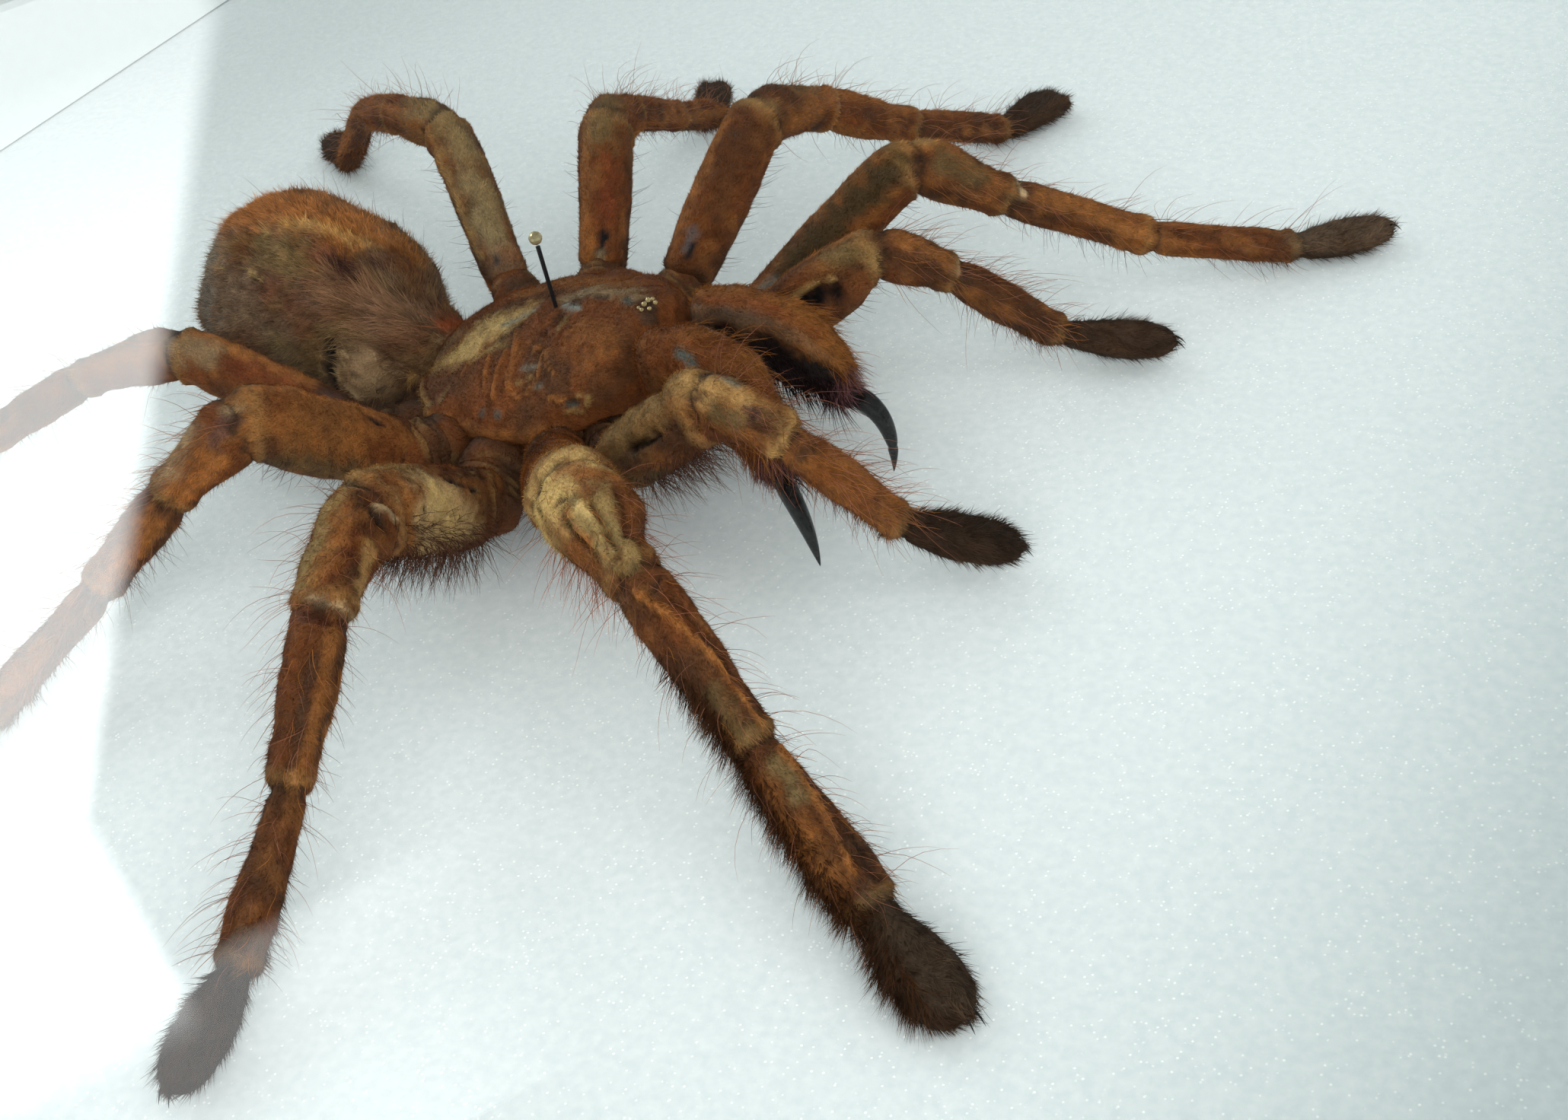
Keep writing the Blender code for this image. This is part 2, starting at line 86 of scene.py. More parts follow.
CHELICERAE = {
    "chelicera_left": [
        ((18.0, 5.2, 18.4), 3.4, 4.2),
        ((19.6, 5.3, 18.8), 4.1, 5.3),
        ((24.4, 5.6, 18.8), 4.2, 5.6),
        ((28.8, 5.9, 17.6), 4.1, 5.4),
        ((31.6, 6.2, 15.7), 3.7, 4.7),
        ((33.4, 6.4, 13.9), 3.0, 3.8),
        ((34.2, 6.5, 12.5), 1.9, 2.5),
    ],
    "chelicera_right": [
        ((18.0, -4.8, 18.8), 3.4, 4.2),
        ((19.6, -5.0, 19.2), 4.1, 5.4),
        ((24.6, -5.4, 19.8), 4.3, 6.0),
        ((29.0, -6.2, 18.8), 4.2, 5.9),
        ((32.2, -7.4, 16.6), 3.8, 5.0),
        ((33.8, -8.4, 14.4), 3.0, 3.9),
        ((34.6, -9.0, 13.0), 1.9, 2.6),
    ],
}
FANGS = {
    "fang_left": [(35.4, 6.6, 11.8), (38.6, 7.0, 10.8), (40.2, 7.0, 7.0), (39.0, 6.8, 1.4)],
    "fang_right": [(35.6, -9.9, 12.2), (38.4, -11.6, 10.4), (40.0, -12.4, 7.0), (40.4, -12.6, 3.0)],
}
LEG_LENGTHS = {
    1: (26.5, 14.5, 20.0, 18.8, 12.6),
    2: (24.0, 14.8, 17.5, 17.7, 12.1),
    3: (21.2, 12.6, 15.9, 19.2, 11.1),
    4: (26.5, 14.8, 21.3, 26.2, 12.1),
}
PALP_LENGTHS = (19.2, 10.0, 16.2, 13.6)
LIMBS = {
    # where it leaves its coxa, each segment's bearing and pitch, and how stout it is
    "leg_1_left": ((16.5, 17, 12.5), (40, 53, 39, 34, 43), (36, -39, -32, -16, -4), 0.96),
    "leg_2_left": ((3.5, 20.5, 13), (84, 86, 72, 69, 68), (33, -23, -34, -26, -8), 1.06),
    "leg_3_left": ((-8, 19.5, 13.5), (114, 114, 102, 108, 126), (34, -20, -30, -27, -2), 1.02),
    "leg_4_left": ((-18, 13.5, 14), (140, 161, 148, 152, 143), (29, -6, -19, -37, -2), 0.94),
    "leg_1_right": ((11, -17, 14), (46, 27, 25, 25, 26), (26, -6, -32, -25, -17), 1.14),
    "leg_2_right": ((3, -21.5, 10), (82, 65, 77, 76, 86), (37, -5, -34, -24, -14), 1.1),
    "leg_3_right": ((-10, -19, 13), (112, 140, 144, 98, 96), (40, -32, -40, -16, -8), 1.08),
    "leg_4_right": ((-17, -16.5, 11), (170, 157, 165, 162, 164), (27, -10, -27, -12, -9), 0.96),
    "palp_left": ((18.5, 11.5, 13.5), (29, 41, 36, 19), (28, -34, -44, -8), 1.0),
    "palp_right": ((17, -14, 14), (4, 6, -29, -35), (36, -13, -52, -27), 1.0),
}
LEG_SECTIONS = (
    [(0.2, 3.1, 3.6), (0.5, 3.3, 3.9), (0.78, 3.3, 3.7)],
    [(0.5, 3.0, 3.1)],
    [(0.3, 2.5, 2.6), (0.55, 2.5, 2.5), (0.8, 2.4, 2.5)],
    [(0.3, 1.8, 1.8), (0.55, 2.1, 1.9), (0.8, 2.4, 2.0)],
    [(0.3, 2.6, 1.9), (0.6, 2.8, 1.9), (0.85, 2.5, 1.7), (0.97, 1.5, 1.1)],
)
LEG_JOINTS = ((3.1, 3.4), (2.4, 2.5), (1.8, 1.9), (1.8, 1.7))
PALP_SECTIONS = (
    [(0.2, 2.7, 3.2), (0.5, 2.8, 3.4), (0.78, 2.8, 3.2)],
    [(0.5, 2.6, 2.8)],
    [(0.3, 2.3, 2.4), (0.55, 2.3, 2.4), (0.8, 2.2, 2.3)],
    [(0.3, 2.4, 2.1), (0.6, 2.6, 2.2), (0.85, 2.4, 1.9), (0.97, 1.5, 1.1)],
)
PALP_JOINTS = ((2.6, 3.0), (2.1, 2.2), (1.7, 1.7))
COXA_ROOT, COXA_ROOT_HIGH = 0.45, 11.5
COXA_HALF, PALP_COXA_HALF = 3.6, 2.9
FOOT_CLEAR = 0.35
PILE = 0.3  # mm, how far the skin lies under the solid, to leave room for the fur
LIMB_PILE = -0.1  # the same for the limbs
FLANK = 4.2  # mm, how far the soft flanks reach out between the coxae
SPINNERET_LONG, SPINNERET_HALF = 6.0, 0.95
PIT_X = 1.3  # the pit in the middle of the carapace, and the bearings of the grooves out from it
GROOVE_BEARINGS = (38, 72, 104, 138)
CHELICERA_END = (1.35, 1.75)  # half width and half height where the fang begins
FANG_HALF = 1.4
BEND_SHARE, BEND_MORE = 0.22, 0.8  # a bend takes up this share of the shorter segment, and mm more
BELLY_FRINGES = {"leg_2_right": 750, "palp_right": 400}  # bristles that hang under the thigh
EYE_MOUND = (14.5, 0.5, 24.5)
EYES = [
    # where on the mound, radius
    ((0.0, 0.42, 0.30), 0.34),
    ((0.0, -0.42, 0.30), 0.34),
    ((0.75, 0.62, -0.05), 0.28),
    ((0.75, -0.62, -0.05), 0.28),
    ((0.05, 1.15, 0.02), 0.26),
    ((0.05, -1.15, 0.02), 0.26),
    ((-0.5, 0.95, 0.08), 0.22),
    ((-0.5, -0.95, 0.08), 0.22),
]

# ---- the grids of the skins: rows along them and sides round them
GRIDS = {
    "carapace": (118, 116),
    "sternum": (40, 48),
    "coxa": (50, 36),
    "abdomen": (130, 110),
    "chelicera": (84, 64),
    "fang": (56, 32),
    "spinneret": (24, 20),
}
NEAR_LIMB_GRID, FAR_LIMB_GRID = (0.38, 40), (0.5, 30)  # mm between rows, and sides

# ---- a mark's edge: where its cover starts to fade and where it ends, in shares of its radius, and
# the radius in mm from which that edge is fully soft
EDGE_IN, EDGE_OUT = 0.5, 1.15
SOFT_FROM = 2.2

# ---- colours, linear
RUST = np.array((0.165, 0.050, 0.0135))
BRIGHT = np.array((0.36, 0.135, 0.034))
BROWN = np.array((0.090, 0.036, 0.015))
UMBER = np.array((0.040, 0.024, 0.015))
GREY_BROWN = np.array((0.125, 0.078, 0.048))
GOLD = np.array((0.52, 0.30, 0.105))
OLIVE = np.array((0.20, 0.135, 0.055))
TAN = np.array((0.46, 0.31, 0.165))
GREY = np.array((0.20, 0.215, 0.185))
PURPLE = np.array((0.070, 0.032, 0.034))
PINK = np.array((0.50, 0.19, 0.11))
BLACK = np.array((0.005, 0.005, 0.006))
CRIMSON = np.array((0.17, 0.040, 0.014))
STRAW = np.array((0.74, 0.50, 0.19))
ABDOMEN_PALER = 1.4  # how much paler the whole abdomen is than its marks say
WHITE_PAINT = (0.56, 0.55, 0.52)
HARDBOARD = (0.30, 0.18, 0.10)
WHITE_FOAM = (0.80, 0.84, 0.84)
BLACK_STEEL = (0.012, 0.012, 0.014, 1)
GOLD_BEAD = (0.60, 0.50, 0.28, 1)
BOARD_WHITE = (0.70, 0.745, 0.765, 1)
# the white of the board's flakes where they glint: a painted glint
BOARD_PAINTED_GLINT = (1.0, 1.0, 1.0, 1)
CLEAR_GLASS = (0.985, 0.995, 0.99, 1)
AMBER = (0.75, 0.56, 0.26, 1)
PALE_FLOOR = (0.40, 0.415, 0.42, 1)

# ---- marks on the skins. Each has a name, places along its middle line, a radius in mm, a colour and
# how strongly it covers; then, if need be, how far it lifts the surface in mm, how bare and shiny it
# makes it, or how much of the fur it takes away. A place is how far along the skin, in segments and
# shares of them on a limb, in shares of its length on a coxa, in stations on a chelicera and in mm of
# x on the body, and then the degrees round it. The name also seeds the mark's ragged edge.
HAIR_FAN = [(-26, 46), (-22.5, 40), (-21, 44)]
SILK_LINE = [(-25.6, 46), *HAIR_FAN[1:]]  # the abdomen's silky hairs grow along it, from inside the fan
MARKS = {
    "carapace": [
        ("rear corner", [(-11, 160), (-9.5, 170), (-7.5, 178)], 3.2, RUST, 0.0, dict(lift=1.2)),
        ("pale rear", [(-12.8, 143), (-11, 134), (-9.6, 125)], 1.8, STRAW * 0.45, 0.6, dict(bare=0.2)),
        ("pale band", [(-9, 120), (-8, 114), (-7.5, 105), (-6, 100)], 3.0, STRAW * 0.62, 0.8, dict(bare=0.2)),
        ("pale fore", [(-6, 98), (-4.5, 97), (-3, 94)], 1.9, STRAW * 0.6, 0.8, dict(bare=0.25)),
        ("pale dapple", [(-8.4, 124), (-5.6, 110), (-3.6, 103)], 1.5, STRAW * 0.7, 0.6, dict(bare=0.1)),
        ("grey shade", [(-5, 103), (-3.2, 98), (-1.4, 93)], 0.7, GREY * 0.8, 0.7, dict(bare=0.4, lift=-0.15)),
        ("tan arc", [(-6, 126), (-4, 122), (-2, 119)], 0.9, STRAW * 0.6, 0.6),
        ("tan fold", [(-1, 110), (0.2, 118), (1.6, 131), (2.4, 139)], 0.4, BRIGHT * 0.9, 0.5, dict(lift=0.3)),
        ("brown saddle", [(-2.5, 82), (-0.5, 80)], 1.5, BROWN, 0.8),
        ("far rust", [(-7, 72), (0, 66), (6, 64)], 2.2, BRIGHT * 0.8, 0.8),
        ("olive crown", [(2, 84), (5, 77), (9, 76), (12, 80)], 1.7, TAN * 0.62, 0.8, dict(bare=0.2)),
        # blue shine: a bare, glossy patch whose blue-grey colour is a painted reflection
        ("blue shine", [(2.6, 91), (5.2, 92)], 0.65, GREY * 0.8, 1.0, dict(bare=1.0, lift=0.2)),
        ("ridge dots", [(6.4, 85), (8, 83.5)], 0.5, UMBER, 0.9, dict(bare=0.6, lift=-0.2)),
        ("ridge dots 2", [(10.8, 85), (12.3, 86)], 0.5, GREY * 0.3, 0.9, dict(bare=0.6, lift=-0.15)),
        ("eye mound", [(14, 87), (14.8, 90)], 1.5, UMBER * 1.4, 0.85, dict(bare=0.3, lift=0.3)),
        # notch and pit: sunk and painted dark, painted shade in the hollows
        ("notch", [(3.2, 97), (3.7, 103)], 0.65, BROWN * 0.7, 0.9, dict(lift=-0.35)),
        ("pit", [(2.9, 108)], 0.4, BLACK, 0.9, dict(lift=-0.4)),
        ("olive fold", [(4.6, 98), (5.0, 108)], 0.5, OLIVE, 0.7, dict(lift=0.25)),
        ("scar", [(3.4, 130), (4.9, 129)], 0.6, GREY * 0.5 + TAN * 0.15, 0.7, dict(bare=0.25)),
        ("scar 2", [(5.9, 142), (6.7, 142)], 0.45, GREY * 0.5 + TAN * 0.15, 0.7, dict(bare=0.25)),
        ("scar ring", [(1.4, 122), (1.2, 132), (2.4, 143), (4.2, 149)], 0.3, BRIGHT, 0.6, dict(lift=0.32)),
        ("scar ring 2", [(3.0, 118), (5.4, 120), (6.6, 129), (7.8, 138)], 0.28, BRIGHT, 0.6, dict(lift=0.3)),
        ("scar ring 3", [(4.9, 136), (3.4, 139)], 0.3, GOLD * 0.6, 0.7, dict(lift=0.3)),
        ("scar ring 4", [(5.0, 124), (6.0, 135), (5.0, 145)], 0.28, BRIGHT, 0.6, dict(lift=0.28)),
        ("crease", [(-2.6, 124), (-2, 135), (-1.2, 146)], 0.28, BRIGHT, 0.45, dict(lift=0.25)),
        ("crease 2", [(-0.4, 120), (-0.2, 132), (0.6, 150)], 0.3, BRIGHT, 0.5, dict(lift=0.3)),
        ("crease 3", [(-5.4, 128), (-5.4, 140)], 0.28, BRIGHT * 0.8, 0.4, dict(lift=0.25)),
        # slit: sunk and painted dark grey, painted shade in the slit
        ("slit", [(10, 157), (11.3, 161)], 0.42, GREY * 0.25, 0.95, dict(lift=-0.5, bare=0.6)),
        ("slit rim", [(11.2, 154), (12.3, 159), (11.9, 164)], 0.3, GOLD * 0.7, 0.8, dict(lift=0.3)),
        ("slit rim 2", [(8.2, 151), (9.8, 156)], 0.3, BRIGHT * 1.1, 0.7, dict(lift=0.3)),
        ("slit rim 3", [(10.2, 165), (11.8, 168)], 0.3, GOLD * 0.5, 0.7, dict(lift=0.25)),
        ("grey spot", [(-0.4, 160)], 0.6, GREY * 0.3, 0.8, dict(bare=0.5)),
        ("grey spot 2", [(1.7, 161)], 0.55, GREY * 0.3, 0.8, dict(bare=0.5)),
        ("rear crease", [(-7, 150), (-7.2, 160), (-9, 168)], 0.4, TAN * 0.5, 0.7, dict(lift=-0.35, bare=0.2)),
        ("rear rim", [(-12.5, 157), (-11, 167), (-8.5, 174)], 0.7, GOLD * 0.6, 0.7, dict(lift=0.5)),
        ("lower rim", [(-9, 177), (0, 178), (9, 176)], 1.0, BRIGHT * 0.7, 0.6, dict(lift=0.6)),
        ("front rust", [(8, 108), (11, 115), (12.5, 128)], 2.6, BRIGHT * 0.8, 0.5, dict(lift=0.2)),
        ("front shade", [(14.6, 125), (15, 145), (14, 160)], 1.6, BROWN, 0.8, dict(lift=-0.25)),
        ("rear shade", [(-13, 110), (-14, 130)], 1.6, TAN * 0.4, 0.5),
    ],
    "abdomen": [
        (
            "orange dome",
            [(-46, 92), (-40, 96), (-34, 98), (-29, 100)],
            5.8, BRIGHT * 0.85, 0.85, dict(lift=0.45),
        ),
        (
            "golden band",
            [(-36, 80), (-31, 81), (-28, 85), (-26.5, 90)],
            0.9, GOLD * 0.75, 0.7, dict(lift=0.4),
        ),
        ("tuft", [(-38.5, 72)], 0.7, GOLD, 0.8, dict(lift=0.3)),
        ("dark tuft", [(-38.8, 66), (-38.0, 68)], 0.7, UMBER * 0.6, 0.8),
        ("dark tuft 2", [(-35.2, 66), (-33, 66)], 0.6, UMBER * 0.6, 0.7),
        ("moss", [(-38, 62), (-34.5, 60), (-31, 57)], 2.3, OLIVE * 0.75, 0.7, dict(lift=-0.2)),
        ("pink fleck", [(-30, 67), (-28.5, 68)], 0.9, PINK * 0.35, 0.7),
        ("bruise", [(-28, 62), (-25.4, 67)], 1.2, PURPLE * 0.5, 0.9, dict(lift=-0.25)),
        ("bruise 2", [(-26, 57), (-26.4, 52)], 0.9, PURPLE * 0.5, 0.8, dict(lift=-0.2)),
        ("bruise 3", [(-24.6, 78), (-23.6, 86)], 1.4, PURPLE * 0.7, 0.75, dict(lift=-0.2)),
        ("brown cheek", [(-23, 92), (-22, 104), (-20.4, 96)], 2.0, BROWN * 1.1, 0.7),
        ("rust shoulder", [(-25.4, 115), (-24, 130)], 2.4, BRIGHT * 0.6, 0.8),
        ("hair fan", HAIR_FAN, 2.6, GREY_BROWN * 1.2 + RUST * 0.3, 0.8, dict(lift=0.35)),
        (
            "smooth patch",
            [(-35.5, 39), (-31, 36), (-29.8, 22)],
            2.9, BROWN * 0.8 + PURPLE * 0.3, 0.6, dict(fur=0.5),
        ),
        ("dark flank", [(-42, 36), (-39, 20), (-35, 8)], 4.2, UMBER + GREY_BROWN * 0.65, 0.7, dict(fur=0.4)),
        ("grey flank", [(-48, 60), (-48.5, 30), (-47, 10)], 3.4, GREY * 0.4 + UMBER, 0.7, dict(fur=0.4)),
        # crease and crease 2: sunk and painted umber, painted shade in the creases
        ("crease", [(-43.4, 47), (-43, 40), (-44, 20)], 0.45, UMBER, 0.7, dict(lift=-0.4)),
        ("crease 2", [(-37.8, 43), (-36.2, 42), (-35.6, 34), (-34, 20)], 0.4, UMBER, 0.75, dict(lift=-0.45)),
        ("crease lip", [(-43.8, 46), (-38, 46), (-36, 44)], 0.35, OLIVE * 1.5, 0.7, dict(lift=0.25)),
        ("low flank", [(-33, 2), (-29, 352), (-27, 8)], 2.6, OLIVE * 0.5, 0.7),
        ("throat", [(-26, 335), (-21.5, 330), (-19, 305)], 5.4, UMBER + BROWN * 0.4, 0.8, dict(lift=3.4)),
        (
            "lung plate",
            [(-24.6, 356), (-24.2, 347)],
            2.9, TAN * 0.3 + RUST * 0.15, 1.0, dict(bare=0.4, fur=1.0),
        ),
        (
            "lung rim",
            [(-25.6, 3), (-26.3, 354), (-26.0, 342)],
            0.35, TAN * 0.6, 0.9, dict(lift=0.3, bare=0.6),
        ),
        # lung slit: sunk and painted black, painted shade in the slit
        ("lung slit", [(-27.4, 6), (-28.2, 353), (-27.6, 338)], 1.0, BLACK, 1.0, dict(lift=-0.9, fur=1.0)),
        ("gold spot", [(-21.2, 342)], 0.8, GOLD * 0.5, 0.8),
        ("waist", [(-18.4, 60), (-18.2, 120)], 1.2, CRIMSON, 0.9),
    ],
    "chelicera_left": [
        ("dome", [(1, 80), (2.5, 85), (3.5, 90)], 4.0, BRIGHT, 0.0, dict(lift=0.6)),
        ("rust back", [(0.8, 80), (2, 85), (3.6, 85)], 3.2, BRIGHT * 0.9, 0.5),
        ("red streak", [(1.2, 108), (2.6, 108), (3.6, 108)], 0.8, CRIMSON, 0.5),
    ],
    "chelicera_right": [
        ("dome", [(0.8, 80), (2, 85), (3, 85)], 4.6, BRIGHT, 0.0, dict(lift=1.1)),
        ("fore dome", [(3, 85), (4.5, 90)], 3.2, BRIGHT, 0.0, dict(lift=0.5)),
        ("rust back", [(0.8, 90), (2, 100), (3.4, 100)], 3.6, RUST * 1.2, 0.6),
        # blue spot: a bare, glossy spot whose blue-grey colour is a painted reflection
        ("blue spot", [(2.0, 117), (2.35, 121)], 0.75, GREY * 0.45, 1.0, dict(bare=0.9, lift=-0.2)),
        ("shade", [(0.9, 130), (1.2, 155)], 1.5, BROWN, 0.5),
    ],
    "coxa_leg_2_right": [
        ("swell", [(0.55, 165), (0.8, 175), (1.1, 180)], 4.4, RUST, 0.0, dict(lift=2.2)),
        ("red ring", [(0.92, 90), (0.92, 200)], 0.8, CRIMSON, 0.6),
    ],
    "coxa_leg_3_right": [
        ("swell", [(0.6, 10), (0.85, 5), (1.1, 0)], 4.0, RUST, 0.0, dict(lift=1.4)),
    ],
    "coxa_leg_4_right": [
        ("swell", [(0.4, 45), (0.8, 40), (1.1, 40)], 3.8, UMBER, 0.5, dict(lift=1.3)),
    ],
    "leg_1_right": [
        ("knee", [(0.95, 20), (1.25, 5), (1.4, 15)], 4.8, BRIGHT, 0.0, dict(lift=1.9)),
        ("foot left", [(3.1, 190), (3.9, 190), (4.8, 190)], 3.0, BROWN, 0.0, dict(lift=0.8)),
        ("foot right", [(4.15, 0), (4.9, 0)], 3.0, BROWN, 0.0, dict(lift=-0.9)),
        ("gold bulb", [(1.06, 78), (1.12, 95), (1.2, 120), (1.15, 155), (1.2, 195)], 3.6, STRAW, 0.85),
        ("bulb shade", [(1.3, 150), (1.4, 180), (1.45, 200)], 1.4, GOLD * 0.45, 0.6),
        ("orange rim", [(1.1, 85), (1.22, 62), (1.36, 45)], 1.3, BRIGHT * 1.1, 0.85),
        ("rust side", [(1.5, 35), (1.8, 25), (2.0, 20)], 2.0, RUST * 0.9, 0.7),
        ("bulb dot", [(1.16, 156)], 0.6, UMBER, 0.85, dict(lift=-0.25)),
        # bulb crack and bulb groove: sunk and painted umber, painted shade in the grooves
        ("bulb crack", [(1.27, 122), (1.31, 112), (1.35, 102)], 0.35, UMBER, 0.9, dict(lift=-0.4)),
        (
            "bulb groove",
            [(1.36, 124), (1.46, 134), (1.6, 136), (1.75, 138)],
            0.6, UMBER * 0.7, 0.95, dict(lift=-0.8),
        ),
        (
            "thin ridge",
            [(1.42, 120), (1.55, 126), (1.7, 128), (1.85, 130)],
            0.32, BRIGHT * 1.3, 0.9, dict(lift=0.5),
        ),
        (
            "olive band",
            [(1.4, 108), (1.6, 112), (1.85, 114)],
            1.2, STRAW * 0.45, 0.9, dict(bare=0.15, lift=0.2),
        ),
        # glossy boss: bare and glossy, its pale straw colour a painted highlight
        ("glossy boss", [(1.45, 99), (1.55, 103)], 0.7, STRAW * 0.6, 1.0, dict(lift=0.35, bare=1.0)),
        # brown groove: sunk and painted dark, painted shade in the groove
        ("brown groove", [(1.5, 86), (1.65, 90), (1.85, 96)], 0.4, BROWN * 0.6, 0.9, dict(lift=-0.5)),
        (
            "tan ridge",
            [(1.48, 70), (1.7, 77), (1.9, 84), (2.0, 88)],
            0.85, STRAW * 0.45, 0.85, dict(lift=0.35),
        ),
        # side groove: sunk and painted dark, painted shade in the groove
        ("side groove", [(1.45, 55), (1.6, 58), (1.8, 62)], 0.5, BROWN * 0.7, 0.8, dict(lift=-0.4)),
        ("torn cuff", [(1.97, 130), (2.0, 105), (1.98, 85)], 0.45, STRAW * 0.3, 0.7, dict(lift=0.3)),
        ("brown shank", [(3.1, 80), (3.9, 80)], 2.4, BROWN * 0.8, 0.75),
        ("pale foot", [(4.1, 90), (4.9, 90)], 3.2, GREY_BROWN * 0.6, 0.8),
        # shin cut: sunk and painted umber, painted shade in the cut
        ("shin cut", [(2.1, 60), (2.16, 100)], 0.4, UMBER, 0.7, dict(lift=-0.35)),
        (
            "shin ridge",
            [(2.1, 130), (2.3, 95), (2.6, 75), (2.95, 70)],
            0.35, BRIGHT * 1.2, 0.8, dict(lift=0.45),
        ),
        # shin hollow: sunk and painted brown, painted shade in the hollow
        ("shin hollow", [(2.2, 70), (2.5, 50), (2.9, 30)], 0.5, BROWN, 0.7, dict(lift=-0.4)),
        ("shin end", [(2.7, 130), (2.95, 120)], 1.2, OLIVE * 0.6, 0.7),
        ("foot olive", [(3.15, 100), (3.35, 95)], 1.1, OLIVE, 0.75, dict(bare=0.2)),
        ("foot ridge", [(3.1, 60), (3.4, 75), (3.8, 110)], 0.35, BRIGHT, 0.8, dict(lift=0.45)),
        # foot hollow: sunk and painted umber, painted shade in the hollow
        ("foot hollow", [(3.5, 40), (3.9, 60)], 0.6, UMBER, 0.6, dict(lift=-0.4)),
    ],
    "leg_2_right": [
        ("belly", [(0.2, 280), (0.6, 280), (0.95, 300)], 3.6, TAN, 0.0, dict(lift=1.2)),
        ("knee back", [(1.7, 140), (1.95, 150)], 3.0, OLIVE, 0.0, dict(lift=0.7)),
        ("shade", [(0.02, 30), (0.25, 350)], 2.2, BROWN * 0.8, 0.6),
        ("shin shift", [(2.1, 130), (2.9, 130)], 2.4, BROWN, 0.0, dict(lift=0.4)),
        ("shin shift 2", [(2.1, 310), (2.9, 310)], 2.4, BROWN, 0.0, dict(lift=-0.5)),
        (
            "pale thigh",
            [(0.66, 25), (0.74, 350), (0.62, 320), (0.45, 330)],
            3.4, TAN * 0.6 + STRAW * 0.4, 0.85,
        ),
        ("pale dapple", [(0.66, 20), (0.6, 350), (0.5, 335)], 1.8, STRAW * 0.9, 0.6),
        ("orange knee", [(0.86, 60), (0.88, 0), (0.86, 320)], 1.4, BRIGHT, 0.8),
        ("gold knee", [(0.72, 100), (0.95, 100), (1.1, 100)], 1.6, GOLD * 0.7, 0.75),
        # slit and slit 2: sunk and painted black, painted shade in the slits
        ("slit", [(0.5, 48), (0.4, 38)], 0.42, BLACK * 2, 1.0, dict(lift=-0.5, fur=1.0)),
        ("slit 2", [(0.36, 28), (0.29, 24)], 0.35, BLACK * 2, 1.0, dict(lift=-0.4, fur=1.0)),
        # wrinkle: sunk and painted umber, painted shade in the wrinkle
        ("wrinkle", [(0.745, 32), (0.75, 356)], 0.28, UMBER, 0.95, dict(lift=-0.3)),
        ("base fold", [(0.12, 60), (0.18, 30), (0.18, 340)], 0.35, GOLD * 0.6, 0.6, dict(lift=0.3)),
        ("base fold 2", [(0.24, 60), (0.28, 30), (0.28, 340)], 0.35, GOLD * 0.5, 0.6, dict(lift=0.3)),
        ("knee ridge", [(1.16, 38), (1.1, 20), (1.02, 355)], 0.4, TAN, 0.9, dict(lift=0.4, bare=0.3)),
        # knee hollow: sunk and painted umber, painted shade in the hollow
        ("knee hollow", [(1.22, 25), (1.25, 5)], 0.9, UMBER, 0.8, dict(lift=-0.4)),
        ("olive shin", [(1.25, 105), (1.5, 115), (1.85, 125)], 1.6, STRAW * 0.5, 0.8),
        ("red shin", [(1.5, 50), (1.7, 55), (1.85, 70)], 1.0, CRIMSON * 0.7, 0.6),
        ("rust shin", [(1.3, 80), (1.6, 85), (1.85, 95)], 1.2, BRIGHT * 0.9, 0.7),
        # orange side: painted rim light along the side lit from the right
        ("orange side", [(1.55, 5), (1.9, 355)], 1.2, GOLD, 0.85),
        ("brown shank", [(3.1, 60), (3.8, 60)], 2.0, BROWN, 0.5),
        ("torn rim", [(1.99, 100), (2.0, 40), (2.02, 340)], 0.5, TAN, 0.8, dict(lift=0.25, bare=0.3)),
        (
            "smooth neck",
            [(2.1, 110), (2.1, 60), (2.11, 10)],
            0.9, CRIMSON * 0.25, 0.9, dict(bare=0.45, lift=-0.2),
        ),
        # tibia side: painted rim light along the side lit from the right
        ("tibia side", [(2.3, 330), (2.9, 330)], 1.0, BRIGHT, 0.75),
        ("tibia top", [(2.3, 60), (2.9, 60)], 0.7, UMBER * 1.5, 0.6, dict(lift=-0.25)),
        ("foot cuff", [(3.85, 60), (3.9, 20), (3.9, 330)], 1.2, GREY_BROWN, 0.7),
    ],
    "leg_3_right": [
        ("belly", [(0.35, 300), (0.8, 300)], 3.6, OLIVE, 0.0, dict(lift=0.5)),
        ("knee back", [(0.8, 100), (1.1, 110)], 3.2, OLIVE, 0.0, dict(lift=0.7)),
        # gold edge: painted rim light along the upper edge
        ("gold edge", [(0.25, 88), (0.6, 90), (0.95, 92)], 1.1, BRIGHT * 1.15, 0.9),
        ("rust side", [(0.3, 50), (0.8, 50)], 2.4, BRIGHT * 0.75, 0.6),
        # gold side: painted rim light along the side lit from the right
        ("gold side", [(0.45, 5), (0.8, 350)], 2.0, BRIGHT * 0.95, 0.6),
        ("dark belly", [(0.3, 325), (0.8, 315)], 1.6, OLIVE * 0.6, 0.6),
        # slit: sunk and painted black, painted shade in the slit
        ("slit", [(0.38, 70), (0.26, 58)], 0.42, BLACK * 2, 1.0, dict(lift=-0.5, fur=1.0)),
        ("pale coxa", [(0.05, 50), (0.08, 0)], 0.5, GREY * 0.6, 0.7, dict(bare=0.9, lift=-0.2)),
        ("pale tuft", [(1.0, 65), (1.06, 60)], 0.8, TAN * 0.8, 0.8),
        ("knee shade", [(1.1, 45), (1.2, 30)], 1.3, PURPLE + UMBER, 0.75),
        ("olive shin", [(1.4, 90), (1.8, 80)], 2.2, TAN * 0.9 + GREY * 0.1, 0.8),
        # orange side: painted rim light along the side lit from the right
        ("orange side", [(1.3, 0), (1.8, 0)], 1.2, BRIGHT * 1.2, 0.8),
